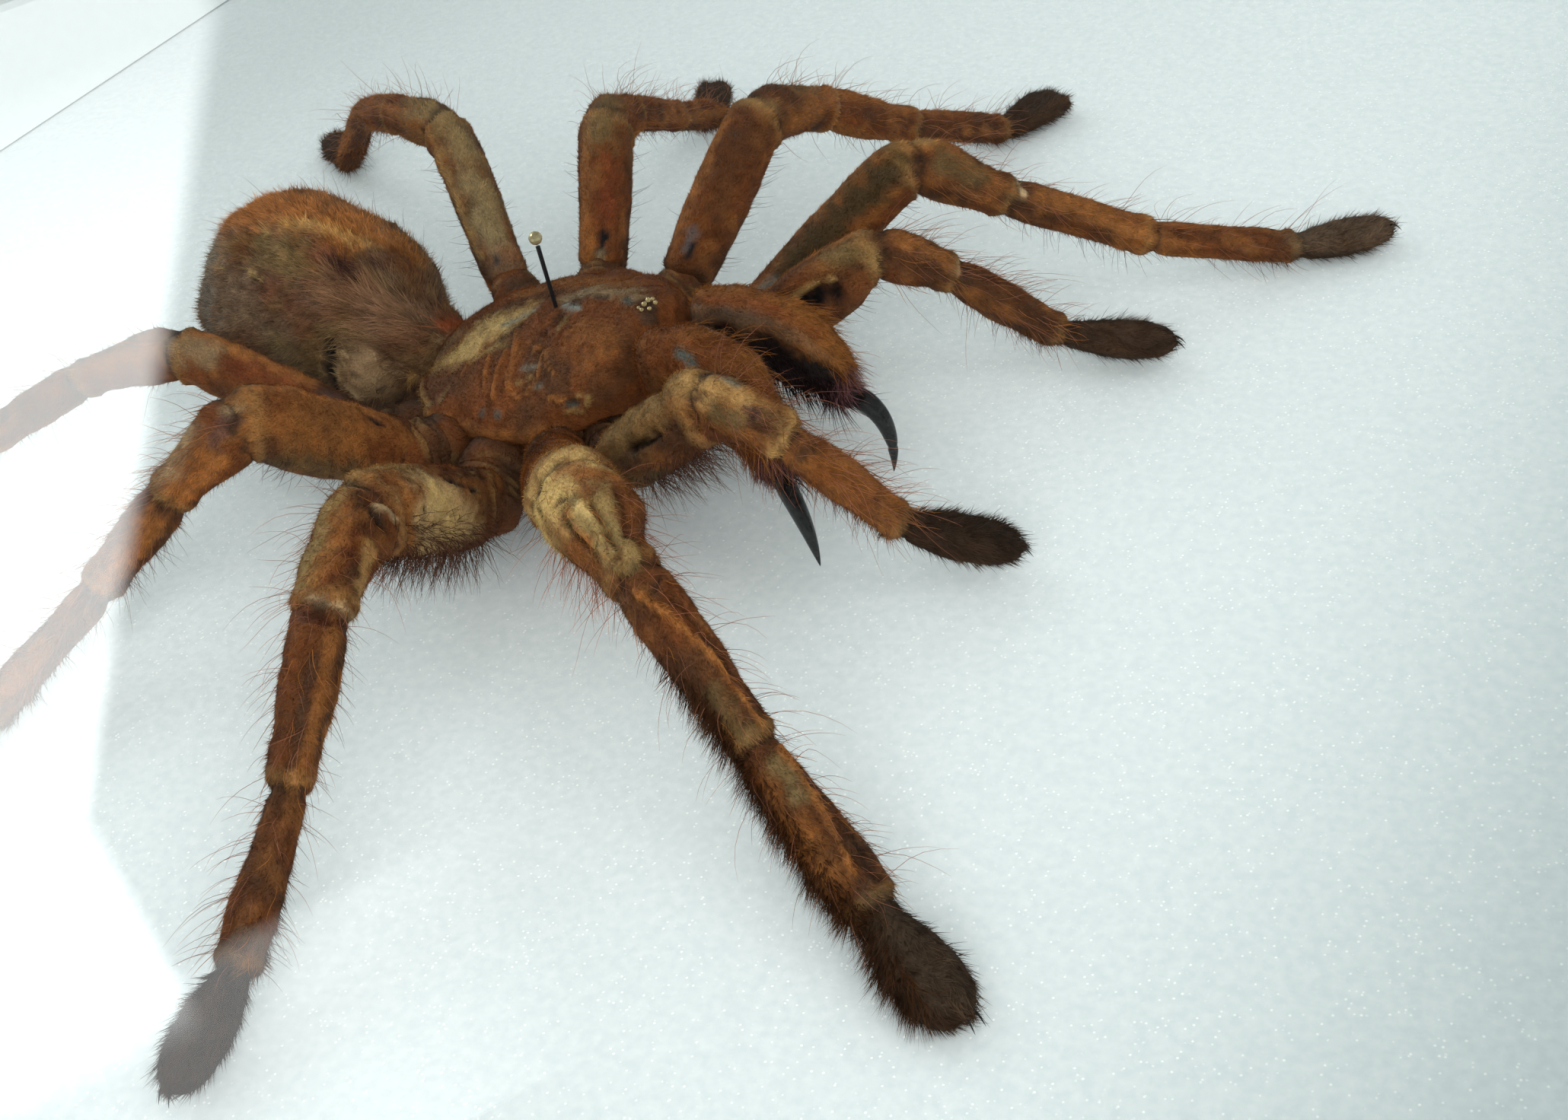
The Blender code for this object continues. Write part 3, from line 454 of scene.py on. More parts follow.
        ("cuff", [(1.94, 60), (1.97, 30)], 0.7, UMBER, 0.8),
        # tibia side: painted rim light along the side lit from the right
        ("tibia side", [(2.2, 10), (2.9, 10)], 1.4, BRIGHT, 0.7),
    ],
    "leg_4_right": [
        # orange edge: painted rim light along the upper edge
        ("orange edge", [(0.4, 100), (0.9, 100)], 1.5, BRIGHT, 0.8),
        ("pale streaks", [(0.85, 60), (1.0, 45)], 1.9, TAN * 0.55, 0.75),
        ("red side", [(0.35, 60), (0.7, 60)], 1.6, CRIMSON, 0.7),
        ("dark root", [(0.02, 90), (0.25, 60)], 2.4, PURPLE + UMBER, 0.7),
    ],
    "leg_1_left": [
        # gold edge: painted rim light along the upper edge
        ("gold edge", [(0.2, 60), (0.9, 70)], 1.3, BRIGHT, 0.8),
        ("olive side", [(0.3, 130), (0.9, 130)], 2.4, OLIVE * 0.25, 0.85),
        ("grey spot", [(0.12, 120), (0.2, 130)], 0.8, GREY * 0.7, 0.7, dict(bare=0.7)),
        ("gold knee", [(1.0, 60), (1.1, 90)], 1.6, GOLD * 0.75, 0.8),
        ("olive shin", [(1.2, 140), (1.6, 140)], 1.5, OLIVE * 0.7, 0.7),
        ("shade", [(1.4, 100), (1.8, 100)], 1.2, BROWN * 0.8, 0.7),
        ("pale joint", [(2.02, 110), (2.03, 150)], 0.6, TAN * 1.1, 0.95, dict(bare=0.9, lift=0.2)),
        ("dark joint", [(1.97, 170), (2.0, 200)], 0.7, BLACK * 2, 0.8, dict(lift=-0.3)),
        ("orange tibia", [(2.2, 120), (2.95, 150)], 1.5, BRIGHT * 0.85, 0.8),
        ("pale foot", [(4.1, 90), (4.9, 90)], 3.2, GREY_BROWN, 0.8),
    ],
    "leg_2_left": [
        ("brown thigh", [(0.1, 120), (0.9, 120)], 3.0, RUST * 0.7, 0.6),
        # gold edge: painted rim light along the upper edge
        ("gold edge", [(0.2, 60), (0.9, 60)], 1.2, BRIGHT, 0.75),
        # blue hollow: a glossy sunk patch whose violet-grey colour is a painted sheen; black tip: painted
        # shade in the slit within it
        (
            "blue hollow",
            [(0.15, 112), (0.26, 112)],
            0.7, PURPLE * 0.7 + GREY * 0.2, 1.0, dict(lift=-0.5, bare=1.0),
        ),
        ("black tip", [(0.12, 116), (0.2, 114)], 0.55, BLACK * 2, 1.0, dict(lift=-0.4, fur=1.0)),
        ("dark dot", [(0.80, 108)], 0.65, UMBER, 0.95, dict(bare=0.5)),
        ("shade", [(0.4, 130), (0.9, 130)], 1.6, BROWN, 0.6),
        ("gold knee", [(0.98, 100), (1.02, 130)], 1.3, GOLD * 0.6, 0.7),
        ("olive shin", [(1.4, 110), (1.7, 110)], 1.6, OLIVE * 0.7, 0.6),
        ("orange tibia", [(2.2, 110), (2.9, 110)], 1.5, BRIGHT * 0.8, 0.7),
    ],
    "leg_3_left": [
        # black slit: sunk and painted black, painted shade in the slit
        ("black slit", [(0.08, 109), (0.18, 109)], 0.8, BLACK * 2, 1.0, dict(lift=-0.5, fur=1.0)),
        ("pale foot", [(0.03, 112), (0.07, 110)], 0.7, TAN * 0.5, 0.8, dict(bare=0.5)),
        # gold edge: painted rim light along the upper edge
        ("gold edge", [(0.2, 60), (0.8, 60)], 0.8, BRIGHT * 0.8, 0.6),
        ("red side", [(0.3, 120), (0.7, 120)], 1.3, CRIMSON, 0.7),
        ("olive knee", [(0.85, 100), (1.2, 90)], 2.4, OLIVE * 0.85, 0.75),
        ("shade", [(1.1, 130)], 0.8, BROWN * 0.7, 0.7),
    ],
    "leg_4_left": [
        ("grey root", [(0.04, 80), (0.3, 80)], 2.4, GREY_BROWN * 1.3, 0.75),
        ("dark dot", [(0.08, 70), (0.09, 72)], 0.5, BLACK * 3, 0.95, dict(bare=0.5)),
        ("olive side", [(0.25, 100), (0.8, 110)], 2.8, OLIVE * 1.2 + GREY * 0.12, 0.85),
        # gold edge: painted rim light along the upper edge
        ("gold edge", [(0.2, 30), (0.8, 40)], 1.0, GOLD * 0.7, 0.75),
        ("olive knee", [(0.9, 90), (1.5, 90)], 2.8, OLIVE * 1.3, 0.8),
        ("shade", [(1.1, 120), (1.4, 110)], 1.0, BROWN * 0.6, 0.7),
        ("orange tibia", [(2.1, 90), (2.9, 90)], 2.0, BRIGHT * 0.7, 0.8),
    ],
    "palp_left": [
        ("knee top", [(0.5, 100), (1.0, 90), (1.6, 90)], 2.6, GOLD, 0.0, dict(lift=0.5)),
        ("belly", [(0.4, 230), (0.7, 230)], 3.0, BROWN, 0.0, dict(lift=1.2)),
        # gold edge: painted rim light along the upper edge
        ("gold edge", [(0.2, 60), (0.9, 80)], 1.3, BRIGHT, 0.85),
        # cavity: sunk and painted black, painted shade in the hollow
        ("cavity", [(0.5, 165), (0.6, 172), (0.68, 184)], 1.6, BLACK, 1.0, dict(lift=-1.0, fur=1.0)),
        ("cavity rim", [(0.44, 150), (0.6, 140), (0.74, 152)], 0.4, GOLD * 0.8, 0.9, dict(lift=0.25)),
        ("olive top", [(0.78, 120), (0.9, 128)], 1.5, OLIVE * 0.8, 0.8),
        ("shade", [(0.9, 165)], 0.9, BROWN * 0.7, 0.8),
        ("gold joint", [(1.0, 140), (0.98, 175)], 0.9, GOLD * 0.6, 0.8),
        ("brown shin", [(1.15, 165), (1.7, 165)], 1.4, BROWN * 0.9, 0.7),
        ("orange shin", [(1.2, 110), (1.8, 115)], 1.4, BRIGHT * 0.85, 0.75),
        ("pale joint", [(1.96, 110), (1.97, 150)], 0.5, TAN * 0.8, 0.8, dict(bare=0.5)),
        ("dark joint", [(2.08, 130), (2.1, 160)], 0.8, UMBER, 0.7),
        ("brown tibia", [(2.2, 140), (2.9, 150)], 2.2, BROWN * 0.65, 0.8),
    ],
    "palp_right": [
        ("knee top", [(0.9, 90), (1.3, 60), (1.8, 50)], 3.2, GOLD, 0.0, dict(lift=1.0)),
        ("belly", [(0.2, 230), (0.6, 230), (0.9, 230)], 3.2, OLIVE, 0.0, dict(lift=1.3)),
        ("gold thigh", [(0.1, 120), (0.5, 120), (0.9, 110)], 2.3, GOLD * 0.7, 0.75),
        ("beads", [(0.1, 150), (0.5, 150), (0.85, 140)], 2.6, GOLD * 0.6, 0.35),
        ("olive thigh", [(0.1, 250), (0.4, 235)], 2.0, OLIVE * 0.7, 0.8),
        # slit: sunk and painted dark, painted shade in the slit
        ("slit", [(0.34, 172), (0.52, 178), (0.66, 180)], 0.55, UMBER * 0.4, 1.0, dict(lift=-0.8, fur=1.0)),
        ("brown thigh", [(0.72, 195), (0.9, 200)], 1.9, BROWN * 0.8, 0.85),
        ("gold knee", [(0.96, 100), (1.2, 100), (1.6, 90)], 1.9, GOLD * 0.95, 0.75),
        ("bald spot", [(1.25, 85), (1.4, 78)], 0.7, GREY * 0.5, 0.8, dict(bare=0.6)),
        ("olive shin", [(1.3, 150), (1.5, 140)], 1.2, OLIVE * 0.7, 0.8),
        ("purple spot", [(1.6, 110), (1.7, 105)], 0.8, PURPLE, 0.75),
        ("orange shin", [(1.5, 60), (1.8, 60)], 1.5, BRIGHT * 0.9, 0.7),
        ("gold rim", [(1.95, 60), (1.97, 120), (1.97, 180)], 0.7, GOLD * 0.9, 0.9, dict(lift=0.25)),
        ("smooth neck", [(2.1, 150), (2.15, 110)], 0.8, BROWN * 0.7, 0.9, dict(bare=0.5)),
        ("orange tibia", [(2.3, 120), (2.85, 120)], 1.6, BRIGHT * 0.8, 0.6),
        ("dark foot", [(3.1, 90), (3.9, 90)], 3.2, UMBER * 0.6, 0.8),
    ],
}


# ------------------------------------------------------------ small tools


def unit(v):
    """Vectors of length 1, one for each row."""
    return v / np.maximum(np.linalg.norm(v, axis=-1, keepdims=True), 1e-9)


def noise(points, size, seed, waves=12):
    """Smooth noise, mostly from -1 to 1, in lumps of about a size in mm."""
    rng = np.random.default_rng(seed)
    total = np.zeros(points.shape[:-1])
    for _ in range(waves):
        way = unit(rng.normal(size=3)) * 2 * pi / (size * rng.uniform(1.2, 2.6))
        total += np.sin(points @ way + rng.uniform(0, 2 * pi))
    return total / sqrt(waves / 2) * 0.75


def scatter(cells, seed):
    """A number from 0 to 1 for each cell, without order."""
    value = np.sin(cells @ np.array((12.9898, 78.233, 37.719)) + seed * 0.731) * 43758.5453
    return value - np.floor(value)


def smooth_rows(values, reach):
    """Values blurred along their first axis, by a reach in rows."""
    count = int(3 * reach) + 1
    kernel = np.exp(-0.5 * (np.arange(-count, count + 1) / reach) ** 2)
    kernel /= kernel.sum()
    padded = np.concatenate([values[:1].repeat(count, 0), values, values[-1:].repeat(count, 0)])
    return np.apply_along_axis(lambda line: np.convolve(line, kernel, "valid"), 0, padded)


def step(low, high, values):
    """From 0 below low to 1 above high, eased at both."""
    share = np.clip((values - low) / (high - low), 0, 1)
    return share * share * (3 - 2 * share)


def bell(values, centre, width):
    """1 at the centre, and near 0 from two widths away."""
    return np.exp(-(((values - centre) / width) ** 2))


def curve_through(stations, values, at):
    """Smooth values between stations."""
    fine = np.linspace(stations[0], stations[-1], 400)
    rough = np.interp(fine, stations, values)
    reach = 400 / (len(stations) - 1) / 3.2
    return np.interp(at, fine, smooth_rows(rough, reach))


# ------------------------------------------------------------ skins


class Skin:
    """A closed form as a grid, rows along it and sides around it, with what grows on it."""

    def __init__(self, points, u, paint):
        self.points = points
        self.u = np.broadcast_to(u[:, None], points.shape[:2])
        theta = np.arange(points.shape[1]) / points.shape[1] * 2 * pi
        self.theta = np.broadcast_to(theta, points.shape[:2])
        self.colour = np.ones(points.shape) * paint
        self.fur = np.ones(points.shape[:2])
        self.bare = np.zeros(points.shape[:2])
        self.refresh()

    def refresh(self):
        """Work out the outward normals and the way along the skin."""
        along = np.gradient(self.points, axis=0)
        around = np.roll(self.points, -1, axis=1) - np.roll(self.points, 1, axis=1)
        self.normal = unit(np.cross(around, along))
        out = self.points - self.points.mean(axis=1, keepdims=True)
        if (self.normal * out).sum() < 0:
            self.normal = -self.normal
        self.along = unit(along)

    def push(self, depth):
        """Move the surface out along its normals, in mm."""
        self.points = self.points + self.normal * depth[..., None]
        self.refresh()

    def place(self, u, degrees):
        """The point of the surface so far along it and so far round it."""
        row = np.argmin(np.abs(self.u[:, 0] - u))
        side = int(round(degrees / 360 * self.points.shape[1])) % self.points.shape[1]
        return self.points[row, side]

    def reach(self, line):
        """How far each point is from a line through places, in mm."""
        spots = [self.place(*at) for at in line]
        spots = spots * 2 if len(spots) == 1 else spots
        nearest = np.full(self.points.shape[:2], 1e9)
        for a, b in zip(spots, spots[1:]):
            way = b - a
            share = np.clip((self.points - a) @ way / max(way @ way, 1e-9), 0, 1)
            gap = np.linalg.norm(self.points - a - share[..., None] * way, axis=-1)
            nearest = np.minimum(nearest, gap)
        return nearest

    def blend(self, weight, paint):
        """Mix a colour in, by a weight for each point."""
        self.colour = self.colour + (paint - self.colour) * weight[..., None]

    def mark(self, name, line, radius, paint, strength, lift=0.0, bare=0.0, fur=0.0):
        """Paint, lift or bare the surface near a line, up to a ragged edge, softer on a wide mark."""
        seed = sum(map(ord, name))
        soft = min(1.0, radius / SOFT_FROM)
        ragged = 0.28 * noise(self.points, 0.8 + 0.5 * radius, seed)
        ragged = ragged + 0.2 * soft * noise(self.points, 0.8, seed + 1)
        smooth_gap = self.reach(line) / radius
        gap = smooth_gap + ragged
        weight = 1 - step(EDGE_IN, EDGE_OUT, gap)
        if lift:
            lift_gap = smooth_gap + (1 - soft) * ragged
            self.push(lift * (1 - step(EDGE_IN - 0.3 * soft, EDGE_OUT + 0.15 * soft, lift_gap)))
        self.blend(strength * (1 - step(EDGE_IN - 0.35 * soft, EDGE_OUT + 0.4 * soft, gap)), paint)
        self.bare = np.maximum(self.bare, bare * weight)
        self.fur = self.fur * (1 - max(fur, 0.9 * bare) * weight)

    def add_marks(self, name):
        """Add every mark that MARKS lists under a name."""
        for mark, line, radius, paint, strength, *more in MARKS.get(name, ()):
            self.mark(mark, line, radius, paint, strength, **dict(*more))

    def mottle(self, size, seed, amount):
        """Make the colour uneven, in spots of about a size in mm."""
        self.colour = self.colour * (1 + amount * noise(self.points, size, seed))[..., None]


def ellipses(centres, ways, wides, talls, sides, lowers=1.0):
    """Points on ellipses across the ways, their tops upwards; theta 0 is one side, pi / 2 the top.

    The lower half of each is as tall as the upper half, times its share in lowers.
    """
    ways = unit(ways)
    side = unit(np.cross((0.0, 0.0, 1.0), ways))
    top = np.cross(ways, side)
    theta = np.arange(sides) / sides * 2 * pi
    rise = np.sin(theta)[None, :] * talls[:, None]
    rise = np.where(rise < 0, rise * np.reshape(lowers, (-1, 1)), rise)
    spread = np.cos(theta)[None, :] * wides[:, None]
    return centres[:, None] + side[:, None] * spread[..., None] + top[:, None] * rise[..., None]


def finish_ends(sizes, positions, round_off):
    """Sizes that close off to a point at both ends, over a distance in mm."""
    start = np.clip((positions - positions[0]) / round_off, 0, 1)
    end = np.clip((positions[-1] - positions) / round_off, 0, 1)
    rise, fall = (np.maximum(1 - (1 - share) ** 2, 0.0004) for share in (start, end))
    return sizes * np.sqrt(rise * fall)


def travel(centres):
    """How far along a line each of its points is."""
    return np.concatenate([[0], np.cumsum(np.linalg.norm(np.diff(centres, axis=0), axis=1))])


# ------------------------------------------------------------ meshes


def make_mesh(name, verts, faces, tint, bare=None, smooth=True):
    """An object from points in mm, triangles or quads, and a colour for each point."""
    mesh = bpy.data.meshes.new(name)
    corners = faces.shape[1]
    mesh.vertices.add(len(verts))
    mesh.vertices.foreach_set("co", ((verts + SPIDER_AT) * MM).astype(np.float32).ravel())
    mesh.loops.add(len(faces) * corners)
    mesh.loops.foreach_set("vertex_index", faces.astype(np.int32).ravel())
    mesh.polygons.add(len(faces))
    mesh.polygons.foreach_set("loop_start", np.arange(len(faces), dtype=np.int32) * corners)
    mesh.update(calc_edges=True)
    mesh.validate()
    paint = mesh.color_attributes.new("tint", "FLOAT_COLOR", "POINT")
    rgba = np.ones((len(verts), 4), dtype=np.float32)
    rgba[:, :3] = np.clip(tint, 0, 1)
    paint.data.foreach_set("color", rgba.ravel())
    if bare is not None:
        mesh.attributes.new("bare", "FLOAT", "POINT").data.foreach_set("value", bare.astype(np.float32))
    if smooth:
        mesh.shade_smooth()
    obj = bpy.data.objects.new(name, mesh)
    bpy.context.scene.collection.objects.link(obj)
    return obj


def grid_faces(rows, sides):
    """The quads of a grid that closes round its sides."""
    row = np.arange(rows - 1)[:, None] * sides
    side = np.arange(sides)[None, :]
    after = (side + 1) % sides
    return np.stack([row + side, row + after, row + sides + after, row + sides + side], -1).reshape(-1, 4)


def skin_object(name, skin, material):
    """The object of a skin, which is darker where fur shades it than where it is bare."""
    rows, sides = skin.points.shape[:2]
    shade = 0.75 + 0.25 * skin.bare[..., None]
    obj = make_mesh(
        name,
        skin.points.reshape(-1, 3),
        grid_faces(rows, sides),
        (skin.colour * shade).reshape(-1, 3),
        skin.bare.ravel(),
    )
    obj.data.materials.append(material)
    return obj


# ------------------------------------------------------------ hair


def read(values, place):
    """A grid's values at places between its points."""
    row, side, s, t = place
    after = (side + 1) % values.shape[1]
    if values.ndim == 3:
        s, t = s[:, None], t[:, None]
    near = values[row, side] * (1 - s) + values[row + 1, side] * s
    far = values[row, after] * (1 - s) + values[row + 1, after] * s
    return near * (1 - t) + far * t


class Roots:
    """Places where hairs grow on a skin, drawn by a weight for each of its points."""

    def __init__(self, skin, weight, seed, per_mm2=None, count=None):
        self.rng = rng = np.random.default_rng(seed)
        p = skin.points
        across = np.roll(p, -1, axis=1)[:-1] - p[:-1]
        area = np.linalg.norm(np.cross(p[1:] - p[:-1], across), axis=-1)
        share = (area * np.clip(weight[:-1], 0, None)).ravel() + 1e-12
        self.count = int(share.sum() * per_mm2) if per_mm2 else count
        cell = rng.choice(share.size, self.count, p=share / share.sum())
        row, side = np.unravel_index(cell, area.shape)
        self.place = row, side, rng.random(self.count), rng.random(self.count)
        self.root = read(skin.points, self.place)
        self.normal = unit(read(skin.normal, self.place))
        self.lay = unit(read(skin.along, self.place))
        self.side = np.cross(self.normal, self.lay)
        self.tint = read(skin.colour, self.place)

    def spread(self, amount):
        """A draw for each hair, mostly within an amount of 0."""
        return self.rng.normal(size=(self.count, 1)) * amount

    def between(self, low, high):
        """An even draw for each hair."""
        return self.rng.uniform(low, high, (self.count, 1))


def coat(skin, per_mm2, length, width, lift, seed, weight=None, tip=1.75, clump=0.8, paint=None):
    """Short hairs, one thin triangle each, in tufts that lie along the skin: points, faces, colours."""
    roots = Roots(skin, skin.fur if weight is None else weight, seed, per_mm2)
    root, normal, side = roots.root, roots.normal, roots.side
    turn = 0.45 * noise(root, 2.2, seed)[:, None] + roots.spread(0.22)
    angle = lift + roots.spread(0.16)
    level = roots.lay * np.cos(turn) + side * np.sin(turn)
    way = level * np.cos(angle) + normal * np.sin(angle)
    cell = np.floor(root / clump)
    jitter = np.stack([scatter(cell, seed + k) for k in range(3)], 1)
    middle = (cell + jitter) * clump - root
    middle -= normal * (middle * normal).sum(1, keepdims=True)
    tuft = 0.72 + 0.56 * scatter(cell, seed + 7)[:, None]
    size = length * roots.between(0.6, 1.25) * (0.8 + 0.4 * tuft)
    half = unit(np.cross(way, normal) + normal * roots.spread(0.3)) * width / 2 * roots.between(0.7, 1.2)
    start = root - normal * 0.05
    verts = np.stack([start - half, start + half, start + way * size + middle * 0.4], 1)
    tint = roots.tint if paint is None else np.ones_like(roots.tint) * paint
    tint = tint * tuft * roots.between(0.75, 1.25)
    # each hair darker at its root and paler at its tip: partly the hair's own colour, partly painted shade
    # deep in the pile and painted light on the tips
    colours = np.stack([tint * 0.6, tint * 0.6, tint * tip], 1)
    return verts.reshape(-1, 3), np.arange(roots.count * 3).reshape(-1, 3), colours.reshape(-1, 3)


def bristles(skin, count, weight, length, thick, lift, seed, paint, bend=0.6, wave=0.12, drop=0.0, pieces=5):
    """Long curved hairs with three sides, rooted where a weight says: points, faces, colours."""
    roots = Roots(skin, weight, seed, count=count)
    normal, lay, side = roots.normal, roots.lay, roots.side
    angle = lift + roots.spread(0.22)
    way = unit(lay * np.cos(angle) + normal * np.sin(angle) + side * roots.spread(0.35))
    turn = unit(lay + side * roots.spread(0.8) + roots.rng.normal(size=(count, 3)) * 0.3)
    turn = turn + np.array((0.0, 0.0, -drop))
    size = length * roots.between(0.5, 1.2)
    phase, spin = roots.between(0, 2 * pi), roots.between(0, 2 * pi)
    centre = roots.root - normal * 0.1
    rings = []
    for k in range(pieces + 1):
        share = k / pieces
        here = unit(way + turn * bend * share**1.3 + side * wave * np.sin(phase + 6 * share))
        x = unit(np.cross(here, normal + 0.01))
        y = np.cross(here, x)
        half = thick / 2 * (1 - share) ** 0.7 + 0.006
        for corner in range(3):
            turned = spin + corner * 2 * pi / 3
            rings.append(centre + half * (x * np.cos(turned) + y * np.sin(turned)))
        centre = centre + here * size / pieces
        centre[:, 2] = np.maximum(centre[:, 2], 0.06)
    verts = np.stack(rings, 1)
    local = []
    for k in range(pieces):
        for corner in range(3):
            a, b = 3 * k + corner, 3 * k + (corner + 1) % 3
            local += [(a, b, b + 3), (a, b + 3, a + 3)]
    faces = (np.arange(count)[:, None, None] * 3 * (pieces + 1) + np.array(local)).reshape(-1, 3)
    tint = np.ones((count, 1, 1)) * np.array(paint) * roots.between(0.6, 1.3)[:, None]
    colours = tint * np.linspace(0.75, 1.25, pieces + 1).repeat(3)[None, :, None]
    return verts.reshape(-1, 3), faces, colours.reshape(-1, 3)


def hair_object(name, parts, material):
    """One object from several lots of hairs."""
    verts, faces, colours, start = [], [], [], 0
    for points, corners, tint in parts:
        verts.append(points)
        faces.append(corners + start)
        colours.append(tint)
        start += len(points)
    obj = make_mesh(name, np.concatenate(verts), np.concatenate(faces), np.concatenate(colours), smooth=False)
    obj.data.materials.append(material)
    return obj


# ------------------------------------------------------------ materials


def node(tree, kind, inputs=None, **settings):
    """A shader node; each of its inputs gets a value, or a link from another node's output."""
    made = tree.nodes.new(kind)
    for key, value in settings.items():
        setattr(made, key, value)
    for key, value in (inputs or {}).items():
        socket = made.inputs[key]
        if isinstance(value, bpy.types.NodeSocket):
            tree.links.new(value, socket)
        else:
            socket.default_value = value
    return made


def new_material(name, **values):
    """A material, its tree and its shader, with values for the shader's sockets."""
    material = bpy.data.materials.new(name)
    material.use_nodes = True
    tree = material.node_tree
    shader = tree.nodes["Principled BSDF"]
    for key, value in values.items():
        shader.inputs[key.replace("_", " ")].default_value = value
    return material, tree, shader


def object_coordinates(tree):
    return node(tree, "ShaderNodeTexCoord").outputs["Object"]


def grain(tree, scale, detail=3.0, roughness=0.6):
    """Fine noise through an object, about 0.5 on average."""
    return node(
        tree,
        "ShaderNodeTexNoise",
        {"Vector": object_coordinates(tree), "Scale": scale, "Detail": detail, "Roughness": roughness},
    ).outputs["Fac"]


def remap(tree, value, low, high, to_low, to_high, smooth=False):
    """A value moved from one range to another and held within it."""
    return node(
        tree,
        "ShaderNodeMapRange",
        {"Value": value, "From Min": low, "From Max": high, "To Min": to_low, "To Max": to_high},
        interpolation_type="SMOOTHSTEP" if smooth else "LINEAR",
    ).outputs["Result"]


def combine(tree, operation, a, b):
    return node(tree, "ShaderNodeMath", {0: a, 1: b}, operation=operation).outputs["Value"]


def times(tree, colour, value):
    """A colour made brighter or darker by a value."""
    made = node(tree, "ShaderNodeVectorMath", {0: colour}, operation="SCALE")
    tree.links.new(value, made.inputs["Scale"])
    return made.outputs["Vector"]


def bump(tree, height, strength, distance):
    return node(
        tree, "ShaderNodeBump", {"Height": height, "Strength": strength, "Distance": distance}
    ).outputs["Normal"]


def skin_material():
    """Velvety skin in its own painted colours, glossier where it is bare."""
    material, tree, shader = new_material("velvet_skin", Specular_IOR_Level=0.3)
    tint = node(tree, "ShaderNodeAttribute", attribute_name="tint").outputs["Color"]
    bare = node(tree, "ShaderNodeAttribute", attribute_name="bare").outputs["Fac"]
    fine = grain(tree, 4200, 4)
    tree.links.new(times(tree, tint, remap(tree, fine, 0.3, 0.7, 0.6, 1.25)), shader.inputs["Base Color"])
    tree.links.new(remap(tree, bare, 0, 1, 0.85, 0.28), shader.inputs["Roughness"])
    tree.links.new(bump(tree, fine, 0.5, 0.0001), shader.inputs["Normal"])
    return material


def hair_material():
    """Hair in its own painted colours, which lets some of the light through."""
    material, tree, shader = new_material("hair", Roughness=0.6, Specular_IOR_Level=0.12)
    tint = node(tree, "ShaderNodeAttribute", attribute_name="tint").outputs["Color"]
    tree.links.new(tint, shader.inputs["Base Color"])
    through = node(tree, "ShaderNodeBsdfTranslucent", {"Color": tint}).outputs["BSDF"]
    mixed = node(tree, "ShaderNodeMixShader", {"Fac": 0.35, 1: shader.outputs["BSDF"], 2: through})
    tree.links.new(mixed.outputs["Shader"], tree.nodes["Material Output"].inputs["Surface"])
    return material


def horn_material():
    """Black horn with an uneven gloss."""
    gloss = {"Specular_IOR_Level": 0.3, "Coat_Weight": 0.1, "Coat_Roughness": 0.08}
    material, tree, shader = new_material("black_horn", **gloss)
    shade = remap(tree, grain(tree, 900, 4), 0.35, 0.7, 0.004, 0.02)
    tint = node(tree, "ShaderNodeCombineXYZ", {0: shade, 1: shade, 2: shade}).outputs["Vector"]
    tree.links.new(tint, shader.inputs["Base Color"])
    tree.links.new(remap(tree, grain(tree, 500), 0.3, 0.7, 0.1, 0.3), shader.inputs["Roughness"])
    tree.links.new(bump(tree, grain(tree, 1500), 0.2, 0.00005), shader.inputs["Normal"])
    return material


def board_material():
    """White board with a fine grain of bright flakes, whose glints are painted into its colour as white dots.
    """
    material, tree, shader = new_material("sparkling_board", Specular_IOR_Level=0.3)
    cells = node(
        tree,
        "ShaderNodeTexVoronoi",
        {"Vector": object_coordinates(tree), "Scale": 1900.0},
        feature="F1",
    )
    pick = node(tree, "ShaderNodeSeparateColor", {"Color": cells.outputs["Color"]}).outputs["Red"]
    dots = remap(tree, cells.outputs["Distance"], 0.12, 0.36, 1, 0)
    # the flakes are real, but their glint is painted, as white in the base colour
    painted_glint = combine(tree, "MULTIPLY", dots, remap(tree, pick, 0.66, 0.8, 0, 1))
    cloud = remap(tree, grain(tree, 900, 4), 0.35, 0.7, 0, 0.30)
    fac = combine(tree, "MAXIMUM", painted_glint, cloud)
    tint = node(
        tree,
        "ShaderNodeMix",
        {"Factor": fac, 6: BOARD_WHITE, 7: BOARD_PAINTED_GLINT},  # sockets 6 and 7 are the colours A and B
        data_type="RGBA",
    ).outputs[2]
    tree.links.new(tint, shader.inputs["Base Color"])
    tree.links.new(bump(tree, fac, 0.3, 0.0001), shader.inputs["Normal"])
    tree.links.new(remap(tree, fac, 0, 1, 0.65, 0.4), shader.inputs["Roughness"])
    return material


def plain_material(name, colour, spread, scale, roughness, stretch=(1, 1, 1), depth=0.0001):
    """A surface with a fine grain in its colour, its gloss and its relief."""
    material, tree, shader = new_material(name)
    moved = node(
        tree, "ShaderNodeMapping", {"Vector": object_coordinates(tree), "Scale": stretch}
    ).outputs["Vector"]
    fine = node(
        tree, "ShaderNodeTexNoise", {"Vector": moved, "Scale": scale, "Detail": 6.0}
    ).outputs["Fac"]
    tint = node(tree, "ShaderNodeRGB")
    tint.outputs[0].default_value = (*colour, 1)
    scaled = times(tree, tint.outputs[0], remap(tree, fine, 0.3, 0.7, 1 - spread, 1 + spread))
    tree.links.new(scaled, shader.inputs["Base Color"])
    gloss = remap(tree, fine, 0.3, 0.7, roughness - 0.08, roughness + 0.08)
    tree.links.new(gloss, shader.inputs["Roughness"])
    tree.links.new(bump(tree, fine, 0.3, depth), shader.inputs["Normal"])
    return material


